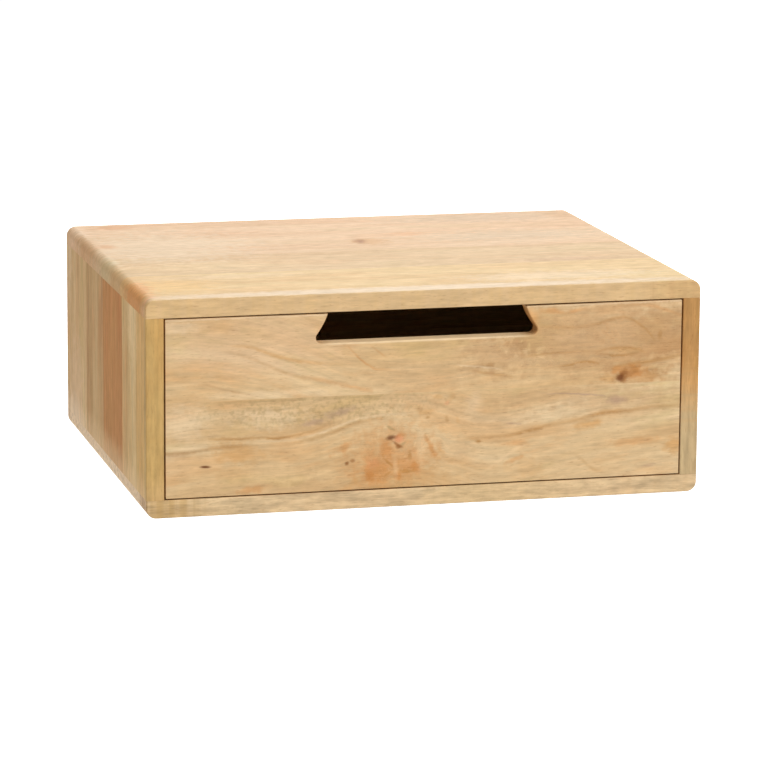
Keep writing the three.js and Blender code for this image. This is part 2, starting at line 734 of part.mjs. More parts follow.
// The cage lies so that it is in the middle of the shared raceway when the drawer is fully out
const middleLength = memberRearY - slideFrontY;
const sharedRaceway = middleLength - drawerTravel / 2;
const cageLength = sharedRaceway - 2 * cageEndRoom;
const cageFrontY = slideFrontY + cageEndRoom + drawerTravel / 4;

function cageGeometry(webStart, ballX, ballZ) {
  const section = cageSection(webStart, ballX, ballZ);
  let cage = solidOf(alongDepth(section, cageFrontY, cageFrontY + cageLength));
  const pitch = cageLength / ballsInRow;
  for (let i = 0; i < ballsInRow; i += 1) {
    for (const z of [-ballZ, ballZ]) {
      const ball = new THREE.SphereGeometry(ballRadius, ballSides, ballRings);
      ball.translate(ballX, cageFrontY + pitch * (i + 1 / 2), z);
      cage = cage.add(solidOf(ball));
    }
  }
  return geometryOf(cage);
}

const leverX = innerWebX - slideGap - leverThickness;
const innerRearScrewY = memberRearY - slideScrewInset;
const leverPivotY = innerRearScrewY - panHeadRadius - leverScrewRoom - leverTail;

function sheetHoles(ys, x0, x1) {
  return ys.map((y) => {
    const hole = roundBar(screwRadius + sheetHolePlay, x1 - x0 + 2 * overrun);
    return turned(hole, alongX, [x0 - overrun, y, 0]);
  });
}

function outerMember() {
  const member = solidOf(alongDepth(outerSection(), slideFrontY, slideRearY));
  return geometryOf(cut(member, sheetHoles(slideScrewYs(slideFrontY, slideRearY), 0, outerSheet)));
}

function innerMember() {
  const member = solidOf(alongDepth(innerSection(), slideFrontY, memberRearY));
  const holes = sheetHoles(slideScrewYs(slideFrontY, memberRearY), innerWebX, slideWidth);
  const pinLength = leverThickness + 2 * slideGap + innerSheet / 2;
  const pin = turned(roundBar(leverPinRadius, pinLength), alongX, [leverX - slideGap, leverPivotY, 0]);
  return geometryOf(cut(member, holes).add(solidOf(pin)));
}

// A flat lever that turns on the inner member's pin, with a tapering tail towards the wall
function leverGeometry() {
  const shape = new THREE.Shape();
  const tangent = Math.acos((leverBossRadius - leverTipHalf) / leverTail);
  shape.absarc(0, 0, leverBossRadius, tangent, 2 * Math.PI - tangent);
  shape.absarc(leverTail - leverTipHalf, 0, leverTipHalf, -tangent, tangent);
  shape.closePath();
  const hole = new THREE.Path();
  hole.absarc(0, 0, leverPinRadius + leverPinPlay, 0, 2 * Math.PI);
  shape.holes.push(hole);
  return alongWidth(shape, 0, leverThickness);
}

function bumperGeometry() {
  const x1 = middleLipX;
  const half = bumperHeight / 2;
  return block(outerSheet, x1, bumperFrontY, slideRearY, -half, half);
}

function makeSlides() {
  const outer = outerMember();
  const middle = alongDepth(middleSection(), slideFrontY, memberRearY);
  const inner = innerMember();
  const outerCage = cageGeometry(outerCageX, outerBallX, outerBallZ);
  const innerCage = cageGeometry(innerCageX, innerBallX, innerBallZ);
  const lever = leverGeometry();
  const bumper = bumperGeometry();
  const screw = screwGeometry(slideScrewLength, panHeadRadius, panHeadHeight, false);
  for (const [side, sign] of [["left", -1], ["right", 1]]) {
    const slide = new THREE.Group();
    slide.position.set(sign * insideX, 0, slideZ);
    slide.rotation.y = sign < 0 ? 0 : Math.PI;
    group.add(slide);
    place(`${side}_slide_outer`, outer, zincSteel, slide);
    place(`${side}_slide_middle`, middle, zincSteel, slide);
    place(`${side}_slide_inner`, inner, zincSteel, slide);
    place(`${side}_outer_ball_cage`, outerCage, zincSteel, slide);
    place(`${side}_inner_ball_cage`, innerCage, zincSteel, slide);
    place(`${side}_release_lever`, lever, blackPlastic, slide, [leverX, leverPivotY, 0]);
    place(`${side}_slide_bumper`, bumper, blackPlastic, slide);
    const outerScrews = slideScrewYs(slideFrontY, slideRearY);
    const innerScrews = slideScrewYs(slideFrontY, memberRearY);
    for (const [i, where] of [[0, "front"], [1, "rear"]]) {
      const outerAt = [outerSheet, outerScrews[i], 0];
      const innerAt = [innerWebX, innerScrews[i], 0];
      place(`${side}_outer_screw_${where}`, screw, screwSteel, slide, outerAt, alongMinusX);
      place(`${side}_inner_screw_${where}`, screw, screwSteel, slide, innerAt, alongX);
    }
  }
}

makeCabinetBoards();
makeCabinetDowels();
makeBackPanel();
makeHangingRail();
makeDrawerFront();
makeDrawerSides();
makeDrawerBackAndBottom();
makeDrawerDowels();
makeSlides();

export default group;
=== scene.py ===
# %% [markdown]
# # A floating nightstand in solid mango wood
#
# The nightstand is a wall-hung box of four edge-glued boards with one inset drawer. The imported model
# holds its construction, and this notebook gives it the looks: boards with finely eased edges, a wood
# whose figure runs through each board as it does in a tree, and plated steel slides. Everything is in
# metres, with +X to the right, +Y towards the wall and +Z up.

# %% Load the frame
import math

import bmesh
import bpy
from mathutils import Matrix, Vector


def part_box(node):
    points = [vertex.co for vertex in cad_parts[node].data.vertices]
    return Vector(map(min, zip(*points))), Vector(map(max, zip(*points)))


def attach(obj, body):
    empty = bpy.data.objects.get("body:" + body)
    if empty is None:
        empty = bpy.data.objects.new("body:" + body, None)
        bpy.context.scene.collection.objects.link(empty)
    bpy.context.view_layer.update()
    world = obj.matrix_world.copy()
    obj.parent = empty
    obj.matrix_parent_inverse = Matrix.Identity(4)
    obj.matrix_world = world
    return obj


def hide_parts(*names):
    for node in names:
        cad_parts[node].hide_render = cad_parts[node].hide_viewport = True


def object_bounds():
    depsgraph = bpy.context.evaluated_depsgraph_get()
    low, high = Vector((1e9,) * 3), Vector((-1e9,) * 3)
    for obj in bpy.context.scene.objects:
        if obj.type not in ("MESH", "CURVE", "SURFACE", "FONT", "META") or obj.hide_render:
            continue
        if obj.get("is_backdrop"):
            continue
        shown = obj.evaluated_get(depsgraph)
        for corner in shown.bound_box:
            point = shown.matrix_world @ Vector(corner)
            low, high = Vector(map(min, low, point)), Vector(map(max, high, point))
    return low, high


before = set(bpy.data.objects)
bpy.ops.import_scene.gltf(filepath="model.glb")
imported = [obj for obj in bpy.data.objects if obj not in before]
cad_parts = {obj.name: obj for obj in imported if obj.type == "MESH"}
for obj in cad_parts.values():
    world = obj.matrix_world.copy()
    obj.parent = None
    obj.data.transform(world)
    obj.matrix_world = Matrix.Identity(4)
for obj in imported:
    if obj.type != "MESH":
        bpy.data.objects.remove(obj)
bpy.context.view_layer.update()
bpy.context.scene.view_settings.view_transform = "Standard"
MM = 0.001
X, Y, Z = 0, 1, 2
print("pieces in the frame:", len(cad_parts))

# %% [markdown]
# ## Camera
#
# The photograph looks down a little on the box from its left, through a long lens. The place, the
# direction and the lens were worked out from the box's straight edges in the picture, so the render
# can be laid over it. The camera comes first, because every finish is judged through it.

# %% Camera
CAMERA_PLACE = (-0.87207, -3.47281, 0.80771)
CAMERA_DIRECTION = (0.2416, 0.9491, -0.2022)
CAMERA_ROLL = math.radians(0.42)
CAMERA_LENS = 185.45
SENSOR_WIDTH = 36

camera = bpy.data.objects.new("camera", bpy.data.cameras.new("camera"))
bpy.context.scene.collection.objects.link(camera)
bpy.context.scene.camera = camera
camera.data.lens = CAMERA_LENS
camera.data.sensor_width = SENSOR_WIDTH
turn = Vector(CAMERA_DIRECTION).to_track_quat("-Z", "Y").to_matrix().to_4x4()
roll = Matrix.Rotation(CAMERA_ROLL, 4, "Z")
camera.matrix_world = Matrix.Translation(CAMERA_PLACE) @ turn @ roll
print("camera roll in degrees:", round(math.degrees(CAMERA_ROLL), 2))

# %% [markdown]
# ## One function for nodes
#
# Each finish below is a tree of shader nodes. In the editor a node is added, set and wired by hand, and
# here one small function does all three, so that a tree reads from top to bottom like a recipe.

# %% Node helper
def add(tree, kind, sockets=None, out=0, stops=None, curve=None, **settings):
    """Adds a node with its settings, stops or curve points. Its sockets are given by name, by number, or
    in their order, each with a value or with the socket that feeds it."""
    made = tree.nodes.new(kind if kind.startswith("NodeGroup") else "ShaderNode" + kind)
    if isinstance(sockets, tuple):
        sockets = dict(enumerate(sockets))
    for name, value in settings.items():
        setattr(made, name, value)
    for place, (share, tone) in enumerate(stops or []):
        elements = made.color_ramp.elements
        element = elements[place] if place < 2 else elements.new(share)
        element.position = share
        element.color = tone
    for place, point in enumerate(curve or []):
        points = made.mapping.curves[0].points
        if place < 2:
            points[place].location = point
        else:
            points.new(*point)
    if curve:
        made.mapping.update()
    for name, value in (sockets or {}).items():
        if isinstance(value, bpy.types.NodeSocket):
            tree.links.new(value, made.inputs[name])
        else:
            made.inputs[name].default_value = value
    return made.outputs[out] if made.outputs else made


print("node helper is ready")

# %% [markdown]
# ## Light
#
# The picture was lit softly, with the most light from above, and less on the box's left side. A large
# lamp high at the front right and a broad one behind the box give that, and the world fills in the
# rest. The background is white only to the camera and to mirror-like rays, so it adds no light to the
# wood.

# %% World and lamps
WHITE = (1, 1, 1, 1)
FILL_STRENGTH = 0.52
LAMP_TARGET = (0, 0, 0.1)
# A lamp is its name, its place and its size in metres, and its power in watts.
LAMPS = [("main_lamp", (1.1, -3.0, 3.0), 2.0, 95), ("rear_lamp", (1.2, 4.6, 2.0), 2.5, 130)]


def seen_directly(tree):
    """1 where the camera looks, or a reflection or clear material passes the look on, and 0 elsewhere."""
    path = add(tree, "LightPath").node.outputs
    either = add(tree, "Math", (path["Is Glossy Ray"], path["Is Camera Ray"]), operation="MAXIMUM")
    return add(tree, "Math", (either, path["Is Transmission Ray"]), operation="MAXIMUM")


world = bpy.data.worlds.new("studio")
bpy.context.scene.world = world
world.use_nodes = True
world.node_tree.nodes.clear()
sky = world.node_tree
fill = add(sky, "Background", {"Color": WHITE, "Strength": FILL_STRENGTH})
backdrop = add(sky, "Background", {"Color": WHITE, "Strength": 1})
mixed = add(sky, "MixShader", {0: seen_directly(sky), 1: fill, 2: backdrop})
add(sky, "OutputWorld", {"Surface": mixed})

for name, place, size, watts in LAMPS:
    light = bpy.data.lights.new(name, "AREA")
    light.size = size
    light.energy = watts
    lamp = bpy.data.objects.new(name, light)
    bpy.context.scene.collection.objects.link(lamp)
    turn = (Vector(LAMP_TARGET) - Vector(place)).to_track_quat("-Z", "Y").to_matrix().to_4x4()
    lamp.matrix_world = Matrix.Translation(place) @ turn
    lamp.visible_camera = False
print("lamps:", len(LAMPS))

# %% [markdown]
# ## Floor
#
# A floating nightstand hangs well above the floor, so the floor lies where a bedroom's would be and
# catches the box's soft shadow there. It is one large pale plane. A little glow, which only the camera
# and mirror-like rays see, brings it up to the white of the background.

# %% Floor
FLOOR_HEIGHT = -0.45
FLOOR_SIZE = 30
FLOOR_GREY = (0.86, 0.86, 0.86, 1)
FLOOR_GLOW = 0.6

floor_mesh = bmesh.new()
bmesh.ops.create_grid(floor_mesh, x_segments=1, y_segments=1, size=FLOOR_SIZE / 2)
bmesh.ops.translate(floor_mesh, verts=floor_mesh.verts, vec=(0, 0, FLOOR_HEIGHT))
floor = bpy.data.objects.new("floor", bpy.data.meshes.new("floor"))
floor_mesh.to_mesh(floor.data)
floor_mesh.free()
bpy.context.scene.collection.objects.link(floor)
floor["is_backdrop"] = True

floor_paint = bpy.data.materials.new("pale_floor")
floor_paint.use_nodes = True
floor_paint.node_tree.nodes.clear()
paint = floor_paint.node_tree
matt = add(paint, "BsdfDiffuse", {"Color": FLOOR_GREY})
glow = add(paint, "Emission", {"Color": WHITE, "Strength": FLOOR_GLOW})
lit = add(paint, "AddShader", {0: matt, 1: glow})
shown = add(paint, "MixShader", {0: seen_directly(paint), 1: matt, 2: lit})
add(paint, "OutputMaterial", {"Surface": shown})
floor.data.materials.append(floor_paint)
print("floor at", FLOOR_HEIGHT, "m")

# %% [markdown]
# ## How each board is made
#
# A sanded board is a box whose edges are slightly round. Each board starts as a cube stretched to the
# box of its part in the frame. Grooves and holes are cut from it as a router and a drill would, and a
# bevel modifier then eases its edges. The modifier reads a weight from each edge, so that one board can
# have a broad round along its outer edges and a hair-thin one where two boards meet, which draws the
# fine line of the joint. Some operators list what they make in an order that changes from run to run, and
# the next step can then join faces in another way, so the mesh is sorted by place in between.

# %% Helpers for boards
FACET_ANGLE = math.radians(35)
FLAT_ANGLE = math.radians(1)
SLACK = 0.2 * MM
# Uneven lengths, so that no two places of a symmetrical board come out equal.
SORTING = Vector((1, 17.31, 291.7))


def box_mesh(low, high):
    """A bmesh box between two corners."""
    made = bmesh.new()
    bmesh.ops.create_cube(made, size=1)
    size = Vector(high) - Vector(low)
    bmesh.ops.scale(made, verts=made.verts, vec=size)
    bmesh.ops.translate(made, verts=made.verts, vec=(Vector(low) + Vector(high)) / 2)
    return made


def sort_mesh(made):
    """Puts the vertices, edges and faces of a bmesh in the order of their places."""
    made.verts.sort(key=lambda vert: vert.co.dot(SORTING))
    made.edges.sort(key=lambda edge: (edge.verts[0].co + edge.verts[1].co).dot(SORTING))
    made.faces.sort(key=lambda face: face.calc_center_median().dot(SORTING))


def finish_mesh(made, name, body, replaced):
    """Turns a bmesh into a piece that rides on a body and stands for its nodes."""
    sort_mesh(made)
    bmesh.ops.recalc_face_normals(made, faces=made.faces)
    piece = bpy.data.objects.new(name, bpy.data.meshes.new(name))
    made.to_mesh(piece.data)
    made.free()
    bpy.context.scene.collection.objects.link(piece)
    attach(piece, body)
    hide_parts(*replaced)
    return piece


def carve(piece, cutters):
    """Cuts closed bmesh shapes out of a piece, one after another, and frees them."""
    for cutter in cutters:
        tool = bpy.data.objects.new("cutter", bpy.data.meshes.new("cutter"))
        bmesh.ops.recalc_face_normals(cutter, faces=cutter.faces)
        cutter.to_mesh(tool.data)
        cutter.free()
        bpy.context.scene.collection.objects.link(tool)
        cut = piece.modifiers.new("cut", "BOOLEAN")
        cut.operation = "DIFFERENCE"
        cut.solver = "EXACT"
        cut.object = tool
        bpy.context.view_layer.update()
        shape = piece.evaluated_get(bpy.context.evaluated_depsgraph_get())
        carved = bpy.data.meshes.new_from_object(shape)
        piece.modifiers.clear()
        piece.data = carved
        carved.name = piece.name
        bpy.data.objects.remove(tool)


def ease_edges(piece, size_of, widest, segments):
    """Rounds each sharp edge by the size that size_of gives for its two ends, up to the widest."""
    shape = bmesh.new()
    shape.from_mesh(piece.data)
    sort_mesh(shape)
    bmesh.ops.dissolve_limit(shape, angle_limit=FLAT_ANGLE, verts=shape.verts, edges=shape.edges)
    weights = shape.edges.layers.float.new("bevel_weight_edge")
    for edge in shape.edges:
        if len(edge.link_faces) == 2 and edge.calc_face_angle(0) > FACET_ANGLE:
            edge[weights] = size_of(*[corner.co for corner in edge.verts]) / widest
    for face in shape.faces:
        face.smooth = True
    shape.to_mesh(piece.data)
    shape.free()
    bevel = piece.modifiers.new("eased edges", "BEVEL")
    bevel.limit_method = "WEIGHT"
    bevel.width = widest
    bevel.segments = segments
    bevel.profile = 0.5
    bevel.use_clamp_overlap = True
    bevel.harden_normals = True
    piece.data.set_sharp_from_angle(angle=FACET_ANGLE)


def both(ends, axis, value, slack=SLACK):
    """Whether both ends of an edge lie at a value along an axis."""
    return all(abs(end[axis] - value) < slack for end in ends)


print("board helpers are ready")

# %% [markdown]
# ## Holes and grooves
#
# Dowels sit in drilled holes and panels in routed grooves. Each is cut a little wider than what it takes.
# Real joints have such play, and a boolean whose faces lie in one plane would leave slivers.

# %% Cutters
PLAY = 0.3 * MM
HOLE_SIDES = 24


def round_bar(node):
    """A cutter for the hole of a dowel: a cylinder along its node's longest side."""
    low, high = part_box(node)
    size = high - low
    along = max(range(3), key=lambda axis: size[axis])
    radius = min(size) / 2 + PLAY
    made = bmesh.new()
    bmesh.ops.create_cone(
        made, cap_ends=True, segments=HOLE_SIDES, radius1=radius, radius2=radius,
        depth=size[along] + 2 * PLAY,
    )
    if along != Z:
        bmesh.ops.rotate(made, verts=made.verts, matrix=Matrix.Rotation(math.pi / 2, 3, "YX"[along]))
    bmesh.ops.translate(made, verts=made.verts, vec=(low + high) / 2)
    return made


def dowel_holes(prefix, board):
    """A cutter for each dowel whose name has this start and whose box reaches into a board's."""
    low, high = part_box(board)
    found = []
    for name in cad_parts:
        dowel_low, dowel_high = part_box(name)
        reaches = all(dowel_low[axis] < high[axis] and dowel_high[axis] > low[axis] for axis in range(3))
        if name.startswith(prefix) and reaches:
            found.append(round_bar(name))
    return found


def grown_box(node):
    """A cutter a little larger than a node's box."""
    low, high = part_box(node)
    return box_mesh(low - Vector((PLAY,) * 3), high + Vector((PLAY,) * 3))


print("cutters are ready")

# %% [markdown]
# ## Cabinet boards
#
# The top and bottom boards run over and under the sides, and their outer long edges are rounded to
# about half the board's thickness. The router bit that rounds them is a bevel operator with many
# segments here. All four boards then get a sanded arris at the front and the rear, a smaller one
# round the mouth, and a hair-line where they meet.

# %% Cabinet boards
ROUND_RADIUS = 9 * MM
ROUND_SEGMENTS = 14
ARRIS = 1.3 * MM
MOUTH_ARRIS = 0.8 * MM
SEAM = 0.12 * MM

shell_low, shell_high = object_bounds()
inside_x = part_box("hanging_rail")[1][X]
mouth_low, mouth_high = [corner[Z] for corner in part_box("left_side_panel")]


def cabinet_board(name, node, is_flat):
    """One of the four boards of the shell."""
    low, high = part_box(node)
    made = box_mesh(low, high)
    if is_flat:
        outer_z = high[Z] if low[Z] > 0 else low[Z]
        corners = [
            edge for edge in made.edges
            if both([v.co for v in edge.verts], Z, outer_z)
            and both([v.co for v in edge.verts], X, edge.verts[0].co[X])
        ]
        bmesh.ops.bevel(
            made, geom=corners, offset=ROUND_RADIUS, offset_type="OFFSET", segments=ROUND_SEGMENTS,
            profile=0.5, affect="EDGES", material=-1,
        )
        # The mouth's arris stops where the side boards stand, so the edge is parted there.
        for side in (-inside_x, inside_x):
            everything = made.verts[:] + made.edges[:] + made.faces[:]
            bmesh.ops.bisect_plane(made, geom=everything, plane_co=(side, 0, 0), plane_no=(1, 0, 0))
    piece = finish_mesh(made, name, "cabinet", [node])
    carve(piece, [grown_box("back_panel")] + dowel_holes("dowel_", node))

    def size_of(*ends):
        """Arris, mouth, seam or none, by where the edge lies."""
        at_face = both(ends, Y, shell_low[Y]) or both(ends, Y, shell_high[Y])
        at_mouth_x = both(ends, X, -inside_x) or both(ends, X, inside_x)
        at_mouth_z = both(ends, Z, mouth_low) or both(ends, Z, mouth_high)
        at_side = both(ends, X, shell_low[X]) or both(ends, X, shell_high[X])
        in_mouth = all(abs(end[X]) <= inside_x + PLAY for end in ends)
        if at_face and (at_mouth_x or (at_mouth_z and in_mouth)):
            return MOUTH_ARRIS
        if at_mouth_z and (at_face or at_side):
            return SEAM
        return ARRIS if at_face else 0

    ease_edges(piece, size_of, ARRIS, segments=4)
    return piece


top_board = cabinet_board("top_board", "top_panel", True)
bottom_board = cabinet_board("bottom_board", "bottom_panel", True)
left_board = cabinet_board("left_side_board", "left_side_panel", False)
right_board = cabinet_board("right_side_board", "right_side_panel", False)
print("cabinet boards:", [len(o.data.polygons) for o in (top_board, bottom_board, left_board, right_board)])

# %% [markdown]
# ## Drawer front
#
# The front is one board with a finger cut-out in its upper edge, sawn narrower at the top, so that its
# ends hook in over the fingers. Its outline is drawn once and extruded: each end is a short hollow curve
# that runs into the arc of a corner. The cut-out's edge is rounded more than the board's own, because
# fingers pull on it.

# %% Drawer front
CUTOUT_TOP = 89.2 * MM
CUTOUT_WIDEST = 99.8 * MM
CUTOUT_DEPTH = 26.2 * MM
CUTOUT_CORNER = 5 * MM
CORNER_STEPS = 14
HOLLOW_STEPS = 9
CUTOUT_LEAN = math.pi / 5
CUTOUT_ROUND = 3 * MM
FRONT_ROUND = 1.2 * MM
# The bevel swells by a hair where its two widths meet, so the face starts that much further in.
FACE_SETBACK = 0.06 * MM


def curve_points(start, control, end, steps):
    """Points of a quadratic curve between its ends."""
    found = []
    for step in range(steps):
        t = step / steps
        found.append(start * (1 - t) ** 2 + control * (2 * t * (1 - t)) + end * t * t)
    return found


def drawer_front_mesh():
    """The front's outline with the cut-out, extruded through the board."""
    low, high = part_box("drawer_front")
    centre = Vector((CUTOUT_WIDEST - CUTOUT_CORNER, high[Z] - CUTOUT_DEPTH + CUTOUT_CORNER))
    swing = CUTOUT_LEAN + math.pi / 2
    spokes = [CUTOUT_LEAN - step / CORNER_STEPS * swing for step in range(CORNER_STEPS + 1)]
    corner = [centre + CUTOUT_CORNER * Vector((math.cos(spoke), math.sin(spoke))) for spoke in spokes]
    control_z = (corner[0][1] + high[Z]) / 2
    control_x = corner[0][0] - (control_z - corner[0][1]) * math.tan(CUTOUT_LEAN)
    top = Vector((CUTOUT_TOP, high[Z]))
    right_half = [Vector((high[X], high[Z]))]
    right_half += curve_points(top, Vector((control_x, control_z)), corner[0], HOLLOW_STEPS) + corner
    left_half = [Vector((-p[0], p[1])) for p in reversed(right_half)]
    outline = [Vector((high[X], low[Z]))] + right_half + left_half + [Vector((low[X], low[Z]))]
    made = bmesh.new()
    face_y = low[Y] + FACE_SETBACK
    face = made.faces.new([made.verts.new((p[0], face_y, p[1])) for p in outline])
    grown = bmesh.ops.extrude_face_region(made, geom=[face])["geom"]
    moved = [item for item in grown if isinstance(item, bmesh.types.BMVert)]
    bmesh.ops.translate(made, verts=moved, vec=(0, high[Y] - face_y, 0))
    return made


front_low, front_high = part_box("drawer_front")
drawer_face = finish_mesh(drawer_front_mesh(), "drawer_face", "drawer", ["drawer_front"])
carve(drawer_face, [grown_box("drawer_bottom")] + dowel_holes("drawer_dowel", "drawer_front"))


def front_edge_size(*ends):
    """Broad round along the cut-out, a fine one round the board."""
    if not (both(ends, Y, front_low[Y]) or both(ends, Y, front_high[Y])):
        outer = all(abs(abs(end[X]) - front_high[X]) < PLAY for end in ends)
        return FRONT_ROUND if outer else 0
    in_width = all(abs(end[X]) < CUTOUT_WIDEST + PLAY for end in ends)
    in_height = all(end[Z] > front_high[Z] - CUTOUT_DEPTH - PLAY for end in ends)
    return CUTOUT_ROUND if in_width and in_height else FRONT_ROUND


ease_edges(drawer_face, front_edge_size, CUTOUT_ROUND, segments=6)
print("drawer front faces:", len(drawer_face.data.polygons))

# %% [markdown]
# ## Drawer box, back and rail
#
# The drawer's box is plain joinery: two sides, a back let into them, and a plywood bottom in a groove.
# The cabinet's back is plywood too, and the rail that carries the hanger plates is a strip of the same
# solid wood. They get the same cuts and a small sanded arris.

# %% Drawer box, back and rail
BOX_ARRIS = 0.8 * MM
PLY_ARRIS = 0.25 * MM


def plain_board(name, node, body, arris, cutters):
    """A board with the same arris on all its sharp edges."""
    low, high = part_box(node)
    piece = finish_mesh(box_mesh(low, high), name, body, [node])
    carve(piece, cutters)

    def size_of(*ends):
        """The arris on the board's own edges, and none on those of its cuts."""
        for axis in range(3):
            if both(ends, axis, low[axis], PLAY / 2) or both(ends, axis, high[axis], PLAY / 2):
                return arris
        return 0

    ease_edges(piece, size_of, arris, segments=3)
    return piece


for side in ("left", "right"):
    node = f"drawer_{side}_side"
    cutters = dowel_holes("drawer_dowel", node) + [grown_box("drawer_bottom"), grown_box("drawer_back")]
    plain_board(f"{side}_drawer_board", node, "drawer", BOX_ARRIS, cutters)
plain_board("rear_drawer_board", "drawer_back", "drawer", BOX_ARRIS, [])
plain_board("drawer_floor", "drawer_bottom", "drawer", PLY_ARRIS, [])
plain_board("back_sheet", "back_panel", "cabinet", PLY_ARRIS, [])

# Behind each hanger plate is a pocket for the head of the wall's screw.
POCKET_HALF = 7 * MM
POCKET_HALF_HEIGHT = 13 * MM
POCKET_DEPTH = 9 * MM
rail_cutters = []
for side in ("left", "right"):
    plate_low, plate_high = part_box(f"{side}_hanger_plate")
    middle = (plate_low + plate_high) / 2
    recess_low = plate_low - Vector((PLAY, 0, PLAY))
    rail_cutters.append(box_mesh(recess_low, plate_high + Vector((PLAY, PLAY, PLAY))))
    pocket_rear = plate_low[Y] - POCKET_DEPTH
    pocket_low = Vector((middle[X] - POCKET_HALF, pocket_rear, middle[Z] - POCKET_HALF_HEIGHT))
    pocket_high = Vector((middle[X] + POCKET_HALF, plate_high[Y] + PLAY, middle[Z] + POCKET_HALF_HEIGHT))
    rail_cutters.append(box_mesh(pocket_low, pocket_high))
    rail_cutters.append(round_bar(f"dowel_rail_{side}"))
plain_board("rear_rail", "hanging_rail", "cabinet", PLY_ARRIS, rail_cutters)
print("joinery is in place")

# %% [markdown]
# ## Mango wood
#
# Mango is a pale golden hardwood with soft brown rings, short dark pores, and often grey-green or
# reddish streaks and small knots. It is sold as boards glued from staves about 95 mm wide. The pattern
# is a solid one: noise drawn out along the grain, so that it runs through the board and shows its end
# grain where the board is cut across. Each stave reads another place of the same tree, and the staves
# have their own tints. The main lines, knots and stains are put where this box has them.

# %% Wood helpers
SMOOTH = {"interpolation_type": "SMOOTHSTEP"}
LAID_OVER = {"out": 2, "data_type": "RGBA"}
TINTED = {"out": 2, "data_type": "RGBA", "blend_type": "MULTIPLY"}


def colour(text):
    """A linear colour from an sRGB hex value."""
    parts = [int(text[i:i + 2], 16) / 255 for i in (0, 2, 4)]
    linear = [p / 12.92 if p <= 0.04045 else ((p + 0.055) / 1.055) ** 2.4 for p in parts]
    return (*linear, 1)


def tones(stops):
    """Ramp stops from pairs of a share and an sRGB hex value."""
    return [(share, colour(text)) for share, text in stops]


def grey(value):
    """A grey as a node's colour, where the number counts and not the look."""
    return (value, value, value, 1)


def new_material(name):
    """An empty node material and its tree."""
    made = bpy.data.materials.new(name)
    made.use_nodes = True
    made.node_tree.nodes.clear()
    return made, made.node_tree


def grain_space(tree, grain, across, depth):
    """Object coordinates in millimetres, as a point along the grain, across it and into the board."""
    place = add(tree, "TexCoord", out=3)
    scaled = add(tree, "VectorMath", {0: place, "Scale": 1 / MM}, out=0, operation="SCALE")
    parts = add(tree, "SeparateXYZ", {0: scaled}).node.outputs
    return parts[grain], parts[across], parts[depth]


def streaks(tree, point, length, width, detail=3, roughness=0.55):
    """Noise drawn out along the grain: streaks of a length and a width in millimetres, from 0 to 1."""
    narrowing = (1 / length, 1 / width, 1 / width)
    narrowed = add(tree, "VectorMath", {0: point, 1: narrowing}, operation="MULTIPLY")
    return add(tree, "TexNoise", {"Vector": narrowed, "Scale": 1, "Detail": detail, "Roughness": roughness})


def staves(tree, across, low, high, rows):
    """A seed and a tint for each stave. A row is where it starts, its seed and its tint."""
    share = add(tree, "MapRange", (across, low, high))
    seeds = [((start - low) / (high - low), grey(seed)) for start, seed, tint in rows]
    tints = tones([((start - low) / (high - low), tint) for start, seed, tint in rows])
    ramps = [add(tree, "ValToRGB", (share,), stops=stops) for stops in (seeds, tints)]
    for ramp in ramps:
        ramp.node.color_ramp.interpolation = "CONSTANT"
    return ramps


def traced(tree, along, places, lowest, highest):
    """A value that changes along a board through given places, between a lowest and a highest value."""
    start, end = places[0][0], places[-1][0]
    share = add(tree, "MapRange", (along, start, end))
    curve = [((x - start) / (end - start), (value - lowest) / (highest - lowest)) for x, value in places]
    value = add(tree, "FloatCurve", {"Value": share}, curve=curve)
    return add(tree, "MapRange", (value, 0, 1, lowest, highest))


print("wood helpers are ready")

# %% [markdown]
# ## Knots, stains and lines
#
# A knot or a stain is a ragged oval whose tone is laid over the wood and fades at its rim. A ring line is
# traced through a few places along the board. There are more than a hundred of them, so the nodes that
# make one stand in a node group, and each stain or line is a copy of its group with its own numbers.

# %% Stain and line groups
# The tone of an oval grows from its rim, 1, to a fifth of its reach.
FADE = (1, 0.2)
RIM_GRIT = 7
RIM_SWING = 1.6
LINE_HEIGHTS = (0, 200)
OVAL = [
    ("Point", "Vector"), ("Grit", "Float"), ("First", "Vector"), ("Second", "Vector"), ("Ragged", "Float"),
]
STAIN = OVAL + [("Strength", "Float"), ("Tone", "Color"), ("Wood", "Color")]
LINE = [
    ("Height", "Float"), ("Line", "Float"), ("Half width", "Float"), ("Shown", "Float"), ("Worn", "Float"),
    ("Tone", "Color"), ("Wood", "Color"),
]


def group_of(name, sockets, output, kind):
    """An empty node group with its sockets, and the outputs of the node that stands for its inputs."""
    made = bpy.data.node_groups.new(name, "ShaderNodeTree")
    for given_name, given_kind in sockets:
        made.interface.new_socket(given_name, in_out="INPUT", socket_type="NodeSocket" + given_kind)
    made.interface.new_socket(output, in_out="OUTPUT", socket_type="NodeSocket" + kind)
    return made, made.nodes.new("NodeGroupInput").outputs


oval_group, given = group_of("ragged_oval", OVAL, "Reach", "Float")
first = add(oval_group, "VectorMath", (given["Point"], given["First"]), out=1, operation="DOT_PRODUCT")
second = add(oval_group, "VectorMath", (given["Point"], given["Second"]), out=1, operation="DOT_PRODUCT")
local = add(oval_group, "CombineXYZ", (first, second))
far = add(oval_group, "VectorMath", (local,), out=1, operation="LENGTH")
reached = add(oval_group, "Math", (given["Grit"], given["Ragged"], far), operation="MULTIPLY_ADD")
add(oval_group, "NodeGroupOutput", (reached,))

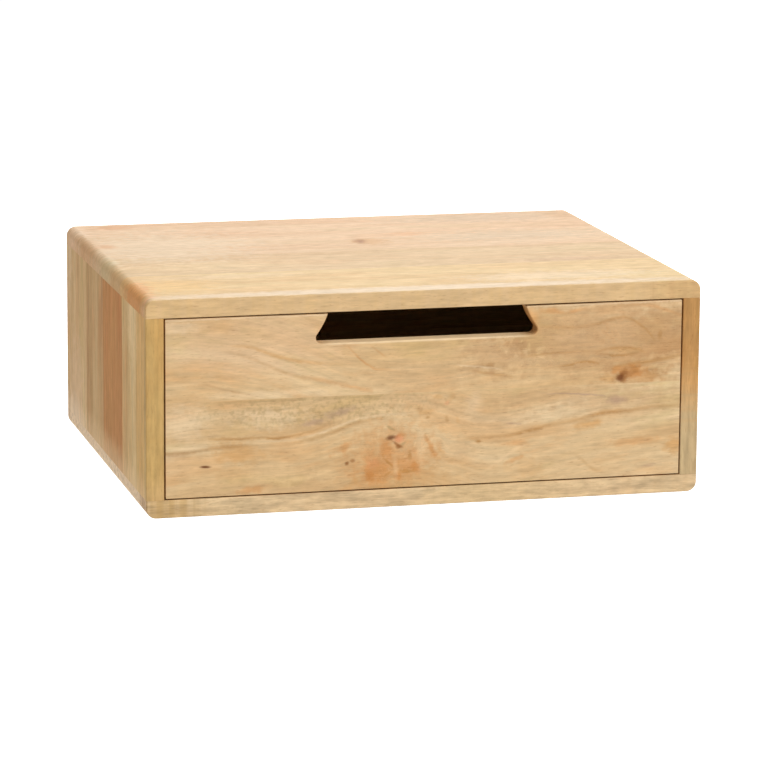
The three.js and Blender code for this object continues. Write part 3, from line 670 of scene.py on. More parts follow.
stain_group, given = group_of("stain", STAIN, "Wood", "Color")
far = add(stain_group, "Group", {name: given[name] for name, kind in OVAL}, node_tree=oval_group)
mask = add(stain_group, "MapRange", (far, *FADE, 0, given["Strength"]), **SMOOTH)
laid = add(stain_group, "Mix", {0: mask, 6: given["Wood"], 7: given["Tone"]}, **LAID_OVER)
add(stain_group, "NodeGroupOutput", (laid,))

line_group, given = group_of("drawn_line", LINE, "Wood", "Color")
above = add(line_group, "Math", (given["Height"], given["Line"]), operation="SUBTRACT")
off = add(line_group, "Math", (above,), operation="ABSOLUTE")
amount = add(line_group, "Math", (given["Shown"], given["Worn"]), operation="MULTIPLY")
mask = add(line_group, "MapRange", (off, given["Half width"], 0, 0, amount), **SMOOTH)
laid = add(line_group, "Mix", {0: mask, 6: given["Wood"], 7: given["Tone"]}, **LAID_OVER)
add(line_group, "NodeGroupOutput", (laid,))


def face_of(tree, along, across):
    """A point on the board's face with 1 as its third number, and the unevenness that frays each rim."""
    flat = add(tree, "CombineXYZ", (along, across, 1))
    grit = add(tree, "TexNoise", {"Vector": flat, "Scale": 1 / RIM_GRIT, "Detail": 3, "Roughness": 0.6})
    return flat, add(tree, "Math", (grit, 0.5), operation="SUBTRACT")


def oval(face, centre, reach, turned, ragged):
    """The sockets of a turned oval. Along each axis a place is measured from the centre, with 1 at the rim,
    and the axis's third number, which meets the point's 1, moves the start to the centre."""
    flat, grit = face
    sockets = {"Point": flat, "Grit": grit, "Ragged": ragged * RIM_SWING}
    turn = math.radians(turned)
    for name, angle, size in (("First", turn, reach[0]), ("Second", turn + math.pi / 2, reach[1])):
        axis = Vector((math.cos(angle), math.sin(angle))) / size
        sockets[name] = (*axis, -axis.dot(Vector(centre)))
    return sockets


def reach_of(tree, face, *place):
    """How far a point is from the centre of an oval, with 1 on its ragged rim."""
    return add(tree, "Group", oval(face, *place), node_tree=oval_group)


def lay_stains(tree, wood, face, rows):
    """Lays each row of a table of stains over the wood."""
    for *place, tone, strength in rows:
        sockets = oval(face, *place)
        sockets.update({"Strength": strength, "Tone": colour(tone), "Wood": wood})
        wood = add(tree, "Group", sockets, node_tree=stain_group)
    return wood


def lay_lines(tree, wood, along, height, worn, rows):
    """Lays each row of a table of lines over the wood, worn thin here and there."""
    for half_width, tone, strength, places in rows:
        line = traced(tree, along, [(x, z) for x, z, shown in places], *LINE_HEIGHTS)
        shown = traced(tree, along, [(x, shown * strength) for x, z, shown in places], 0, 1)
        sockets = {"Height": height, "Line": line, "Half width": half_width, "Shown": shown, "Worn": worn}
        sockets.update({"Tone": colour(tone), "Wood": wood})
        wood = add(tree, "Group", sockets, node_tree=line_group)
    return wood


def stained(rows):
    """A figure for a board of straight grain that only has stains."""
    def figure(tree, along, across):
        """The grain as it is, and what lays the stains over the wood."""
        face = face_of(tree, along, across)
        return across, lambda wood: lay_stains(tree, wood, face, rows)
    return figure


print("stain and line groups are ready")

# %% [markdown]
# ## The wood's colour and feel
#
# Five sizes of streak make the tone: broad clouds, ring lines, flecks, fibre and pores. Clouds choose
# the colour, from brown late wood to cream early wood, and other clouds tint it greenish or reddish. The
# finer streaks only lighten or darken it, so that knots and stains laid in between still show their
# grain. Pores are drawn two to three times as coarse as real ones so that they show. The surface is
# sanded and oiled: matt, with a slight sheen, and with pores a few hundredths of a millimetre deep.

# %% The wood's surface
# Sizes of streak, along the grain and across it in millimetres.
WOOD_CLOUD = (230, 24)
WOOD_HUE = (120, 34)
RING_LINE = (95, 3.6)
FLECK = (15, 4.2)
FIBRE = (20, 1.1)
PORE = (7, 0.8)
# Hues are read this far from the clouds, so that the two don't fall together.
HUE_SHIFT = (310, 270, 0)
WOOD_STOPS = [(0.34, "cba576"), (0.45, "d5b385"), (0.55, "dbbd92"), (0.68, "e2c8a1")]
GREEN_TINT = "f2f5e6"
RED_TINT = "fff0e2"
END_GRAIN_TINT = "f5e0c4"
PORE_TINT = "a87a4c"
PORE_SHADE = 0.28
# Pores sink by this share of the relief, which is set coarse enough to show.
PORE_SINK = 0.6
RELIEF = 0.08 * MM
# Roughness where the grain is darkest and where it is palest.
WOOD_ROUGHNESS = (0.74, 0.62)


def wood_colour(tree, point, clouding):
    """The broad colour of the wood at a point, with greenish and reddish clouds."""
    clouds = streaks(tree, point, *WOOD_CLOUD, 3, 0.5)
    soft = add(tree, "MapRange", (clouds, 0, 1, 0.5 - clouding / 2, 0.5 + clouding / 2))
    plain = add(tree, "ValToRGB", (soft,), stops=tones(WOOD_STOPS))
    shifted = add(tree, "VectorMath", (point, HUE_SHIFT))
    hues = streaks(tree, shifted, *WOOD_HUE, 4, 0.6)
    green = add(tree, "MapRange", (hues, 0.47, 0.34, 0, clouding), **SMOOTH)
    red = add(tree, "MapRange", (hues, 0.52, 0.66, 0, clouding), **SMOOTH)
    greened = add(tree, "Mix", {0: green, 6: plain, 7: colour(GREEN_TINT)}, **TINTED)
    return add(tree, "Mix", {0: red, 6: greened, 7: colour(RED_TINT)}, **TINTED)


def wood_grain(tree, point, fibre, lines, flecks):
    """How ring lines, flecks and fibres lighten or darken the wood, about 1. Flecks lie along the fibre,
    which stays nearly straight where the ring lines bend."""
    total = 1
    for place, size, detail, swing in (
        (point, RING_LINE, 3, 0.11 * lines),
        (fibre, FLECK, 4, 0.1 * flecks),
        (fibre, FIBRE, 1, 0.04 * flecks),
    ):
        noise = streaks(tree, place, *size, detail)
        part = add(tree, "MapRange", (noise, 0.3, 0.7, -swing, swing), clamp=False)
        total = add(tree, "Math", (part, total), operation="ADD")
    return total


def wood_surface(tree, base, grain, fibre):
    """The oiled surface of the wood, smoothed by sanding, with short pores along the fibre."""
    pore = add(tree, "MapRange", (streaks(tree, fibre, *PORE, 1), 0.63, 0.75), **SMOOTH)
    grained = add(tree, "VectorMath", {0: base, "Scale": grain}, operation="SCALE")
    shade = add(tree, "Math", (pore, PORE_SHADE), operation="MULTIPLY")
    pored = add(tree, "Mix", {0: shade, 6: grained, 7: colour(PORE_TINT)}, **TINTED)
    sheen = add(tree, "MapRange", (grain, 0.8, 1.2, *WOOD_ROUGHNESS))
    relief = add(tree, "Math", (pore, -PORE_SINK, grain), operation="MULTIPLY_ADD")
    bump = add(tree, "Bump", {"Height": relief, "Strength": 0.4, "Distance": RELIEF})
    sockets = {"Base Color": pored, "Roughness": sheen, "Normal": bump, "IOR": 1.5, "Specular IOR Level": 0.2}
    add(tree, "OutputMaterial", (add(tree, "BsdfPrincipled", sockets),))


print("wood surface is ready")

# %% [markdown]
# ## A board of mango
#
# A board is staves of one wood, each from another place in the tree. So each stave reads the noise far
# from the next one's place, and multiplies it by its own tint. The rings sway along the board, while the
# fibre, along which the flecks and pores lie, leans with them only a little. Where a face looks along the
# grain it shows end grain, which soaks up oil and is darker.

# %% Mango
STAVE_DISTANCE = 900
SWAY_SIZE = (170, 60)
FIBRE_LEAN = 0.3
# How far a face has to look along the grain before end grain starts to show, and shows in full.
END_FACING = (0.35, 0.95)


def mango(name, axes, low, high, rows, figure=None, ended=0.9, sway=13, clouding=1, lines=1, flecks=1):
    """Mango wood for a board whose staves lie across it from low to high, in millimetres. Axes are those
    along the grain, across it and into the board, and figure adds what is listed. The last five are
    the darkening of end grain, the sway of the grain, and the strength of clouds, lines and flecks."""
    made, tree = new_material(name)
    along, across, depth = grain_space(tree, *axes)
    seed, tint = staves(tree, across, low, high, rows)
    far = add(tree, "Math", (seed, STAVE_DISTANCE), operation="MULTIPLY")
    moved = add(tree, "Math", (along, far), operation="ADD")
    deep = add(tree, "Math", (depth, far), operation="ADD")
    lifted, lay = figure(tree, along, across) if figure else (across, None)
    raw = add(tree, "CombineXYZ", (moved, lifted, deep))
    swing = add(tree, "MapRange", (streaks(tree, raw, *SWAY_SIZE, 1), 0, 1, -sway, sway))
    bent = add(tree, "Math", (lifted, swing), operation="ADD")
    point = add(tree, "CombineXYZ", (moved, bent, deep))
    leaning = add(tree, "Math", (swing, FIBRE_LEAN, across), operation="MULTIPLY_ADD")
    fibre = add(tree, "CombineXYZ", (moved, leaning, deep))
    base = add(tree, "Mix", {0: 1, 6: wood_colour(tree, point, clouding), 7: tint}, **TINTED)
    if lay:
        base = lay(base)
    facing = add(tree, "SeparateXYZ", (add(tree, "TexCoord", out=1),)).node.outputs[axes[0]]
    cut_across = add(tree, "Math", (facing,), operation="ABSOLUTE")
    end = add(tree, "MapRange", (cut_across, *END_FACING, 0, ended), **SMOOTH)
    darkened = add(tree, "Mix", {0: end, 6: base, 7: colour(END_GRAIN_TINT)}, **TINTED)
    wood_surface(tree, darkened, wood_grain(tree, point, fibre, lines, flecks), fibre)
    return made


def paint_piece(name, made):
    """Gives a piece one material."""
    piece = bpy.data.objects[name]
    piece.data.materials.clear()
    piece.data.materials.append(made)


print("boards of mango are ready")

# %% [markdown]
# ## The drawer front's figure
#
# The front is glued from two boards. In the upper one the grain falls from the left, and on the right it
# closes in long loops beside a dark knot. In the lower one the lines climb over a burl in the middle. A
# float curve lifts the grain's lines along the board, and a hump in that lift closes them into loops.

# %% Grain of the drawer front
FRONT_GLUE_LINE = 101.5
LIFT_LIMIT = 50
UPPER_LIFT = [(-232, 34), (-190, 32), (-140, 22), (-100, 8), (-60, -6), (0, -9), (60, -2), (140, 0), (232, 6)]
LOWER_LIFT = [
    (-232, -2), (-170, 3), (-120, 4), (-80, 14), (-60, 19), (-30, 20), (0, 15), (30, 5), (60, -2),
    (100, 4), (150, 13), (200, 19), (232, 22),
]

# A hump is its centre, reach, turn and raggedness, and how far it lifts the lines.
UPPER_HUMP = ((140, 138), (96, 25), 0, 0.7), 27
LOWER_HUMP = ((-28, 46), (36, 32), 10, 0.7), 22


def lifted_board(tree, face, along, across, places, hump):
    """The height of a board's grain lines, through its places and round its hump."""
    lift = traced(tree, along, places, -LIFT_LIMIT, LIFT_LIMIT)
    settled = add(tree, "Math", (across, lift), operation="SUBTRACT")
    oval, most = hump
    raised = add(tree, "MapRange", (reach_of(tree, face, *oval), 1, 0.1, 0, most), **SMOOTH)
    return add(tree, "Math", (settled, raised), operation="ADD")


print("places that lift the grain:", len(UPPER_LIFT) + len(LOWER_LIFT))

# %% [markdown]
# ## The drawer front's knots and stains
#
# The knot on the right is the darkest mark, and the burl low in the middle is a nest of reddish ovals.
# Between them lie grey-green, purplish and amber stains. A painter would dab them in with a small brush.
# Here each dab is a row of a table, so that it can be moved by a millimetre and stays the same each run.

# %% Knots and stains of the drawer front
# Tones, from the heart of a knot to sapwood.
HEART = "653413"
BARK = "87501f"
BROWN = "a97534"
RUST = "c8823f"
AMBER = "cc9054"
OCHRE = "d0a066"
TAN = "bd9266"
PINK = "e08c62"
OLIVE = "a38b5e"
PLUM = "ab8b78"
# A pale pink, used only for painted reflected light low on the left side.
BLUSH = "e3bd96"
CREAM = "ecca9c"
SAPWOOD = "eed4ae"

# A row is the place, how far the spot reaches along and across, its turn, raggedness, tone and strength.
UPPER_SPOTS = [
    ((-150, 150), (110, 40), 0, 0.5, "e0b88f", 0.5),
    ((-222, 168), (26, 9), 0, 0.7, SAPWOOD, 0.45),
    ((-140, 106), (80, 5), 0, 0.7, SAPWOOD, 0.3),
    ((-183, 166), (14, 8), 0, 0.8, OCHRE, 0.3),
    ((170, 142), (150, 52), 0, 0.6, TAN, 0.62),
    ((60, 132), (46, 28), 0, 0.8, TAN, 0.42),
    ((218, 148), (44, 42), 0, 0.9, "b3804c", 0.28),
    ((0, 116), (80, 20), 0, 0.9, TAN, 0.24),
    ((82, 139), (13, 10), 0, 0.9, TAN, 0.4),
    ((94, 163), (9, 18), 23, 0.3, "e6a968", 0.55),
    ((112, 169), (14, 4), -6, 0.9, AMBER, 0.45),
    ((135, 169), (8, 3), 10, 0.9, AMBER, 0.4),
    ((56, 123), (9, 4), 0, 1.1, BROWN, 0.25),
    ((213, 144), (4, 6), 0, 0.8, BROWN, 0.35),
    ((180, 131), (18, 4), 0, 0.7, OCHRE, 0.45),
    ((191, 108), (44, 15), 2, 0.6, "b98752", 0.55),
    ((205, 107), (14, 5), 8, 0.9, OLIVE, 0.3),
    ((203, 107), (17, 8), 0, 0.7, AMBER, 0.35),
    ((187, 111), (18, 8), 8, 0.7, RUST, 0.55),
    ((181, 115), (15, 4.5), 14, 0.7, AMBER, 0.5),
    ((188, 114), (10, 5), 8, 0.8, "a06c34", 0.45),
    ((172, 114), (7, 4), 60, 0.8, AMBER, 0.6),
    ((166, 106), (9, 5.5), -10, 0.7, OCHRE, 0.5),
    ((179, 107.5), (12, 6.5), 18, 0.7, BARK, 0.6),
    ((180, 111), (3.5, 7), -32, 0.5, BARK, 0.4),
    ((176.5, 106.5), (5.4, 4.8), 25, 0.5, HEART, 0.7),
]
LOWER_SPOTS = [
    ((-125, 92), (115, 20), 1, 0.8, "b59a6c", 0.1),
    ((-170, 92), (26, 12), 0, 0.9, TAN, 0.12),
    ((-78, 87), (20, 5), 17, 0.7, PLUM, 0.5),
    ((-102, 79), (18, 4.5), 8, 0.7, PLUM, 0.5),
    ((-92, 76), (22, 4), 12, 0.8, TAN, 0.4),
    ((-216, 84), (30, 26), 0, 0.7, SAPWOOD, 0.4),
    ((-138, 84), (46, 12), 0, 1, SAPWOOD, 0.42),
    ((43, 90), (12, 13), 0, 0.8, SAPWOOD, 0.35),
    ((172, 84), (86, 24), 0, 0.9, TAN, 0.24),
    ((173, 87), (14, 5.5), -4, 0.7, PLUM, 0.6),
    ((130, 92), (130, 15), 0, 0.8, TAN, 0.25),
    ((62, 76), (62, 15), 0, 0.9, TAN, 0.3),
    ((30, 50), (24, 12), 0, 0.9, TAN, 0.25),
    ((-5, 93), (50, 12), 0, 0.9, TAN, 0.22),
    ((-174, 58), (26, 15), 0, 0.9, OCHRE, 0.6),
    ((-160, 52), (34, 12), 0, 0.9, OCHRE, 0.4),
    ((-172, 38), (26, 11), 0, 0.9, OCHRE, 0.3),
    ((-135, 33), (46, 13), 0, 0.9, "e8c694", 0.42),
    ((-90, 31), (18, 9), 0, 0.9, "e8c694", 0.4),
    ((-222, 54), (18, 5), 0, 0.8, TAN, 0.4),
    ((-34, 44), (56, 46), 8, 0.9, AMBER, 0.55),
    ((-10, 24), (64, 20), 0, 0.9, OCHRE, 0.3),
    ((-36, 50), (8, 15), 0, 0.9, RUST, 0.5),
    ((-44, 37), (21, 20), 20, 0.8, RUST, 0.3),
    ((-47, 31), (17, 12), 12, 0.8, RUST, 0.3),
    ((-49, 40), (8, 8), 0, 0.8, PINK, 0.18),
    ((-51, 29), (6, 5), 0, 0.9, RUST, 0.4),
    ((-17, 38), (20, 17), 0, 0.8, RUST, 0.38),
    ((-10, 36), (6, 6), 0, 0.8, RUST, 0.45),
    ((-26, 27), (7, 5), -20, 0.7, RUST, 0.45),
    ((-15, 45), (3, 7), 0, 0.6, BROWN, 0.45),
    ((-18.5, 31.5), (10, 2.6), 0, 0.6, BROWN, 0.55),
    ((-34, 39.5), (9, 1.7), -43, 0.5, BROWN, 0.5),
    ((-35, 30), (6, 1.6), 30, 0.6, BROWN, 0.35),
    ((-28, 34), (3, 14), 4, 0.6, CREAM, 0.25),
    ((-5, 52), (6, 24), 0, 0.6, CREAM, 0.4),
    ((-26, 60.5), (8.5, 5.5), -5, 0.6, "d98a60", 0.65),
    ((-22, 64), (6, 2.5), 0, 0.6, RUST, 0.35),
    ((-28, 57), (7, 2), -40, 0.6, BARK, 0.6),
    ((-24.5, 54), (5, 3), 0, 0.7, BARK, 0.7),
    ((-21, 56.5), (4, 1.8), 30, 0.6, OLIVE, 0.5),
    ((-32, 62.3), (6.5, 3.4), 8, 0.5, HEART, 0.8),
    ((-33, 71), (7, 1.8), -30, 0.5, OLIVE, 0.55),
    ((4, 52), (3.6, 16), 22, 0.7, AMBER, 0.75),
    ((14, 48), (7, 2), -35, 0.7, OCHRE, 0.45),
    ((-1, 84), (8, 4), 0, 0.9, OCHRE, 0.5),
    ((-7, 86), (6, 3), 0, 0.9, BROWN, 0.3),
    ((1, 79), (3, 2), 0, 0.7, BROWN, 0.5),
    ((10, 97), (8, 3), 0, 0.9, OCHRE, 0.4),
    ((22, 96), (5, 4), 0, 0.9, OCHRE, 0.4),
    ((18, 91), (3, 2.5), 0, 0.9, PINK, 0.25),
    ((18, 77), (2.5, 5), 15, 0.8, BROWN, 0.3),
    ((28, 75), (3, 5), 15, 0.8, OCHRE, 0.45),
    ((47, 55), (4, 2.6), 0, 0.6, BROWN, 0.65),
    ((79, 70), (9, 1.6), -6, 0.9, PLUM, 0.4),
    ((-76, 55), (15, 5), 24, 0.9, AMBER, 0.5),
    ((-156, 22), (20, 5), 8, 1, AMBER, 0.55),
    ((-64, 25), (13, 4), 38, 0.8, OCHRE, 0.4),
    ((229, 43), (14, 10), 0, 0.9, OCHRE, 0.8),
    ((190, 49), (36, 5), 2, 0.9, AMBER, 0.32),
    ((148, 66), (18, 5.5), 6, 0.8, OCHRE, 0.75),
    ((84, 52), (14, 4), 0, 0.9, AMBER, 0.4),
    ((92, 30), (26, 16), 0, 0.9, OCHRE, 0.3),
    ((80, 37), (12, 3), 22, 0.8, AMBER, 0.45),
    ((205, 26), (14, 2.4), 6, 0.8, PLUM, 0.3),
    ((-198, 44), (7.5, 1.8), -2, 0.3, HEART, 0.9),
    ((-72, 41), (3, 2.6), 20, 0.5, BARK, 0.75),
    ((-66.5, 43.5), (3.4, 2.6), 0, 0.6, BARK, 0.5),
]
print("knots and stains of the drawer front:", len(UPPER_SPOTS) + len(LOWER_SPOTS))

# %% [markdown]
# ## The drawer front's lines
#
# Where a saw cuts through the rings at a flat angle they show as long brown lines that bend round the
# knots. The noise gives their general run, and the ones that catch the eye in the picture are traced
# here. The last two are the glue line and a painted highlight along the upper edge.

# %% Lines of the drawer front
# A line is its half-width, tone and strength, and its places: along, height, and how much of it shows.
DRAWN_LINES = [
    (3, OCHRE, 0.65, [
        (-178, 150, 0), (-158, 148, 0.8), (-140, 141, 1), (-120, 135, 1), (-92, 131, 0.6), (-66, 128, 0),
    ]),
    (3.2, BROWN, 0.32, [
        (-185, 146, 0), (-162, 140, 0.7), (-145, 132.5, 0.8), (-130, 125.5, 1), (-113, 120, 0.8),
        (-90, 115.5, 0.5), (-70, 113, 0),
    ]),
    (3.6, AMBER, 0.48, [(-116, 120, 0), (-97, 117, 0.7), (-80, 112.5, 0.8), (-62, 107.8, 1), (-48, 105, 0)]),
    (1.8, TAN, 0.7, [
        (-205, 117, 0), (-195, 116, 0.6), (-183, 112, 0.6), (-165, 108, 0.3), (-150, 105, 0),
    ]),
    (2.2, AMBER, 0.65, [
        (-72, 146, 0), (-66, 139, 0.7), (-57, 131, 0.9), (-48, 125, 0.7), (-34, 123, 0.3), (-18, 121, 0),
    ]),
    (1.8, AMBER, 0.55, [(-52, 146, 0), (-44, 139.5, 0.7), (-36, 134, 0)]),
    (3, BROWN, 0.45, [
        (100, 156, 0), (120, 154.5, 0.6), (145, 154.5, 0.5), (158, 157, 0.8), (172, 160.5, 0.9),
        (184, 160, 0.8), (194, 154, 0.8), (203, 146, 0.6), (209, 138, 0),
    ]),
    (3, AMBER, 0.45, [
        (96, 168, 0), (112, 170, 0.8), (125, 167, 0.7), (138, 169.5, 0.8), (155, 168, 0.2), (178, 171, 0.4),
        (196, 172, 0.9), (213, 168, 0.9), (232, 161, 0.7),
    ]),
    (2.6, BROWN, 0.5, [
        (150, 130, 0), (168, 133.6, 0.8), (182, 133.6, 0.9), (193, 131.5, 0.7), (200, 129, 0),
    ]),
    (2.4, BROWN, 0.5, [(150, 129.5, 0), (167, 127.6, 0.8), (182, 127.2, 0.9), (197, 129, 0)]),
    (2, BROWN, 0.5, [(84, 128, 0), (104, 131, 0.7), (125, 131.5, 0.6), (148, 132, 0.3), (162, 131, 0)]),
    (2.2, BROWN, 0.6, [(118, 119, 0), (131, 120.5, 0.8), (146, 122.5, 1), (158, 120, 0)]),
    (3.4, BROWN, 0.55, [
        (164, 114, 0), (178, 118, 0.6), (200, 120, 0.9), (218, 122.5, 0.7), (232, 125.5, 0.5),
    ]),
    (1.5, SAPWOOD, 0.45, [(26, 125, 0), (38, 123, 1), (56, 121, 0.9), (70, 118, 0)]),
    (2.4, BROWN, 0.45, [(36, 120, 0), (50, 117, 0.9), (66, 114, 0.8), (84, 111, 0)]),
    (3, BROWN, 0.62, [
        (-232, 57, 0.9), (-205, 58, 0.8), (-188, 60.5, 0.8), (-165, 60.5, 0.6), (-140, 60, 0.3),
        (-120, 61, 0.3), (-104, 64, 0.5), (-92, 67, 0.6), (-80, 71, 0.7), (-66, 76, 0.6), (-48, 79, 0.3),
        (-28, 78, 0),
    ]),
    (2, BROWN, 0.65, [
        (-196, 68.5, 0), (-180, 67.8, 0.8), (-150, 67.3, 0.9), (-125, 67.3, 0.8), (-110, 70, 0.6),
        (-95, 74, 0.3), (-80, 79, 0),
    ]),
    (2, SAPWOOD, 0.4, [
        (-172, 64.3, 0), (-150, 64.3, 0.6), (-118, 64.5, 0.8), (-104, 67.5, 0.9), (-92, 70.5, 1),
        (-80, 74.5, 1), (-68, 79, 0.8), (-50, 82, 0.6), (-28, 83, 0.5), (-6, 81, 0),
    ]),
    (3.6, BROWN, 0.6, [
        (26, 57, 0), (50, 58.5, 0.6), (75, 59.5, 0.7), (92, 62.5, 1), (108, 66, 0.7), (130, 69.5, 0.5),
        (145, 72, 0.8), (160, 75.5, 1), (183, 76.5, 0.8), (206, 79, 0.6), (232, 79, 0.4),
    ]),
    (3, CREAM, 0.5, [(48, 24, 0), (62, 34, 0.7), (72, 41, 1), (82, 47, 0.7), (94, 51, 0)]),
    (3, BROWN, 0.3, [(134, 40, 0), (142, 35, 0.7), (149, 28, 0.9), (159, 23, 0.6), (170, 20, 0)]),
    (1.2, PLUM, 0.7, [(100, 95.5, 0), (128, 94.5, 0.8), (150, 92.5, 1), (164, 91, 0)]),
    (1.8, OLIVE, 0.5, [
        (-200, 100, 0), (-185, 100, 0.7), (-150, 100, 1), (-120, 100, 0.7), (-90, 100, 0.6), (-60, 100, 0.8),
        (-30, 100.5, 0.5), (0, 100.5, 0.4), (30, 100.5, 0),
    ]),
    # A painted highlight: a pale line where the front's rounded upper edge catches the light.
    (1.4, SAPWOOD, 0.55, [(-232, 174, 0.9), (232, 174, 0.8)]),
]
print("lines of the drawer front:", len(DRAWN_LINES))

# %% [markdown]
# ## The drawer front's wood
#
# The figure puts it all together: the lifted grain, curled near the burl, then the stains of each board,
# the lines, and a grey-green spot that is speckled like the rest of its ring. The lip under the cut-out
# is painted a little paler than the face: a painted highlight where its round catches the light.

# %% Drawer front wood
FRONT_STAVES = [(0, 0.47, "fffefb"), (FRONT_GLUE_LINE, 0.71, "fffcf6")]
BURL_PLACE = ((-8, 58), (62, 42), 0, 0.4)
CURL_SIZE = 15
CURL_SWING = 14
SPECKLED_PLACE = ((-100, 91), (150, 20), 1, 0.5)
SPECKLE_SIZE = 3.6
SPECKLE_STRENGTH = 0.32
SPECKLE_TONE = "9c8252"
LINE_WOBBLE = 3
# Where the grit is low a line shows by about half, and where it is high in full.
WORN_GRIT = (-0.2, 0.05)
WORN_SHOWN = (0.55, 1)
# The lip under the cut-out is painted paler: a painted highlight where its round catches the light.
LIP_HIGHLIGHT_TONE = "f6dcb2"
LIP_HIGHLIGHT_STRENGTH = 0.65
# Where the lip starts and is full as one goes up, where it stops above that, and where its ends fade.
LIP_BAND = (146.2, 148)
LIP_TOP = (149.5, 149)
LIP_ENDS = (99, 80)


def front_figure(tree, along, across):
    """The lifted grain of the drawer front, and what lays its marks over the wood."""
    face = face_of(tree, along, across)
    flat, grit = face
    upper = add(tree, "Math", (across, FRONT_GLUE_LINE), operation="GREATER_THAN")
    upper_height = lifted_board(tree, face, along, across, UPPER_LIFT, UPPER_HUMP)
    lower_height = lifted_board(tree, face, along, across, LOWER_LIFT, LOWER_HUMP)
    height = add(tree, "Mix", {0: upper, 2: lower_height, 3: upper_height})
    near_burl = add(tree, "MapRange", (reach_of(tree, face, *BURL_PLACE), *FADE), **SMOOTH)
    curl_noise = add(tree, "TexNoise", {"Vector": flat, "Scale": 1 / CURL_SIZE, "Detail": 2})
    curl = add(tree, "MapRange", (curl_noise, 0, 1, -CURL_SWING, CURL_SWING))
    curled = add(tree, "Math", (curl, near_burl, height), operation="MULTIPLY_ADD")

    def lay(wood):
        """Stains of each board, drawn lines, the speckled spot and a painted highlight on the cut-out's lip.
        """
        above = lay_stains(tree, wood, face, UPPER_SPOTS)
        below = lay_stains(tree, wood, face, LOWER_SPOTS)
        speckle = add(tree, "TexNoise", {"Vector": flat, "Scale": 1 / SPECKLE_SIZE, "Detail": 2})
        dots = add(tree, "MapRange", (speckle, 0.45, 0.66, 0, SPECKLE_STRENGTH), **SMOOTH)
        band = add(tree, "MapRange", (reach_of(tree, face, *SPECKLED_PLACE), 1, 0.4), **SMOOTH)
        speckled = add(tree, "Math", (dots, band), operation="MULTIPLY")
        below = add(tree, "Mix", {0: speckled, 6: below, 7: colour(SPECKLE_TONE)}, **LAID_OVER)
        wood = add(tree, "Mix", {0: upper, 6: below, 7: above}, **LAID_OVER)

        wobbling = add(tree, "Math", (grit, LINE_WOBBLE, across), operation="MULTIPLY_ADD")
        worn = add(tree, "MapRange", (grit, *WORN_GRIT, *WORN_SHOWN))
        wood = lay_lines(tree, wood, along, wobbling, worn, DRAWN_LINES)

        # Painted highlight: the lip under the cut-out is laid paler, fading at its top and towards its ends.
        on_lip = add(tree, "MapRange", (across, *LIP_BAND, 0, LIP_HIGHLIGHT_STRENGTH), **SMOOTH)
        below_top = add(tree, "MapRange", (across, *LIP_TOP), **SMOOTH)
        from_middle = add(tree, "Math", (along,), operation="ABSOLUTE")
        between_ends = add(tree, "MapRange", (from_middle, *LIP_ENDS), **SMOOTH)
        painted_lip_band = add(tree, "Math", (on_lip, below_top), operation="MULTIPLY")
        lip = add(tree, "Math", (painted_lip_band, between_ends), operation="MULTIPLY")
        return add(tree, "Mix", {0: lip, 6: wood, 7: colour(LIP_HIGHLIGHT_TONE)}, **LAID_OVER)

    return curled, lay


front_wood = mango(
    "mango_drawer_front", (X, Z, Y), 0, front_high[Z] / MM, FRONT_STAVES, front_figure,
    ended=0.5, sway=7, clouding=0.65, lines=0.7, flecks=0.9,
)
paint_piece("drawer_face", front_wood)
print("drawer front is painted with", front_wood.name)

# %% [markdown]
# ## Staves and stains of the cabinet
#
# The staves' places and tints are those of this box: the left side goes from grey-green through reddish
# brown to pale at the front, and the top is calm and pale, with one small knot behind its middle. The
# long narrow rows near -200 are the front edges of the boards, which are a little darker than their faces.
# Some rows are painted light: a painted highlight along the top's front edge, and painted bounce light
# from the floor, pale low on the left side and on the bottom's left end. That end is also darker at its
# front and rear corners.

# %% Staves and stains of the cabinet
# Each row: where the stave starts across the board, its seed and its tint.
TOP_STAVES = [(-200, 0.13, "fffadf"), (-82, 0.41, "f6efe0"), (10, 0.72, "fff6f2"), (100, 0.3, "fff3ee")]
BOTTOM_STAVES = [(-200, 0.33, "faf3e6"), (-110, 0.52, "f4ecdf"), (-15, 0.18, "fbf0e0"), (80, 0.87, "f2eadb")]
LEFT_STAVES = [
    (-200, 0.08, "fff2c8"), (-155, 0.64, "fff8dc"), (-90, 0.37, "e3b77a"), (5, 0.81, "eadabb"),
    (60, 0.55, "e6d5b4"), (92, 0.22, "fbf0da"),
]
RIGHT_STAVES = [
    (-200, 0.77, "f6dcb8"), (-120, 0.28, "f8e9d0"), (-30, 0.46, "f2dfc0"), (70, 0.95, "f8ecd6"),
]
LEFT_SPOTS = [
    ((110, -176), (150, 32), 0, 0.8, "dcaa60", 0.55),
    ((170, -138), (66, 34), 0, 0.8, "f4d09a", 0.5),
    # Painted reflected light: a pale pink zone on the side's lower rear, as from the floor below.
    ((34, 150), (90, 60), 0, 0.9, BLUSH, 0.4),
    ((170, 190), (60, 30), 0, 0.8, SAPWOOD, 0.35),
    # Painted bounce light: these two lay pale bands low on the side, where light from the floor brightens it.
    ((10, 0), (34, 700), 0, 0.25, "f2cd9a", 0.5),
    ((12, 160), (34, 80), 0, 0.3, "f8dcbc", 0.5),
    ((100, -200), (150, 12), 0, 0.3, "b8975e", 0.62),
    ((6, -202), (40, 8), 0, 0.3, "b8905a", 0.4),
]
RIGHT_SPOTS = [
    ((152, -200), (72, 14), 0, 0.5, "ad7f48", 0.7),
    ((40, -200), (76, 14), 0, 0.5, "bcaa84", 0.7),
]
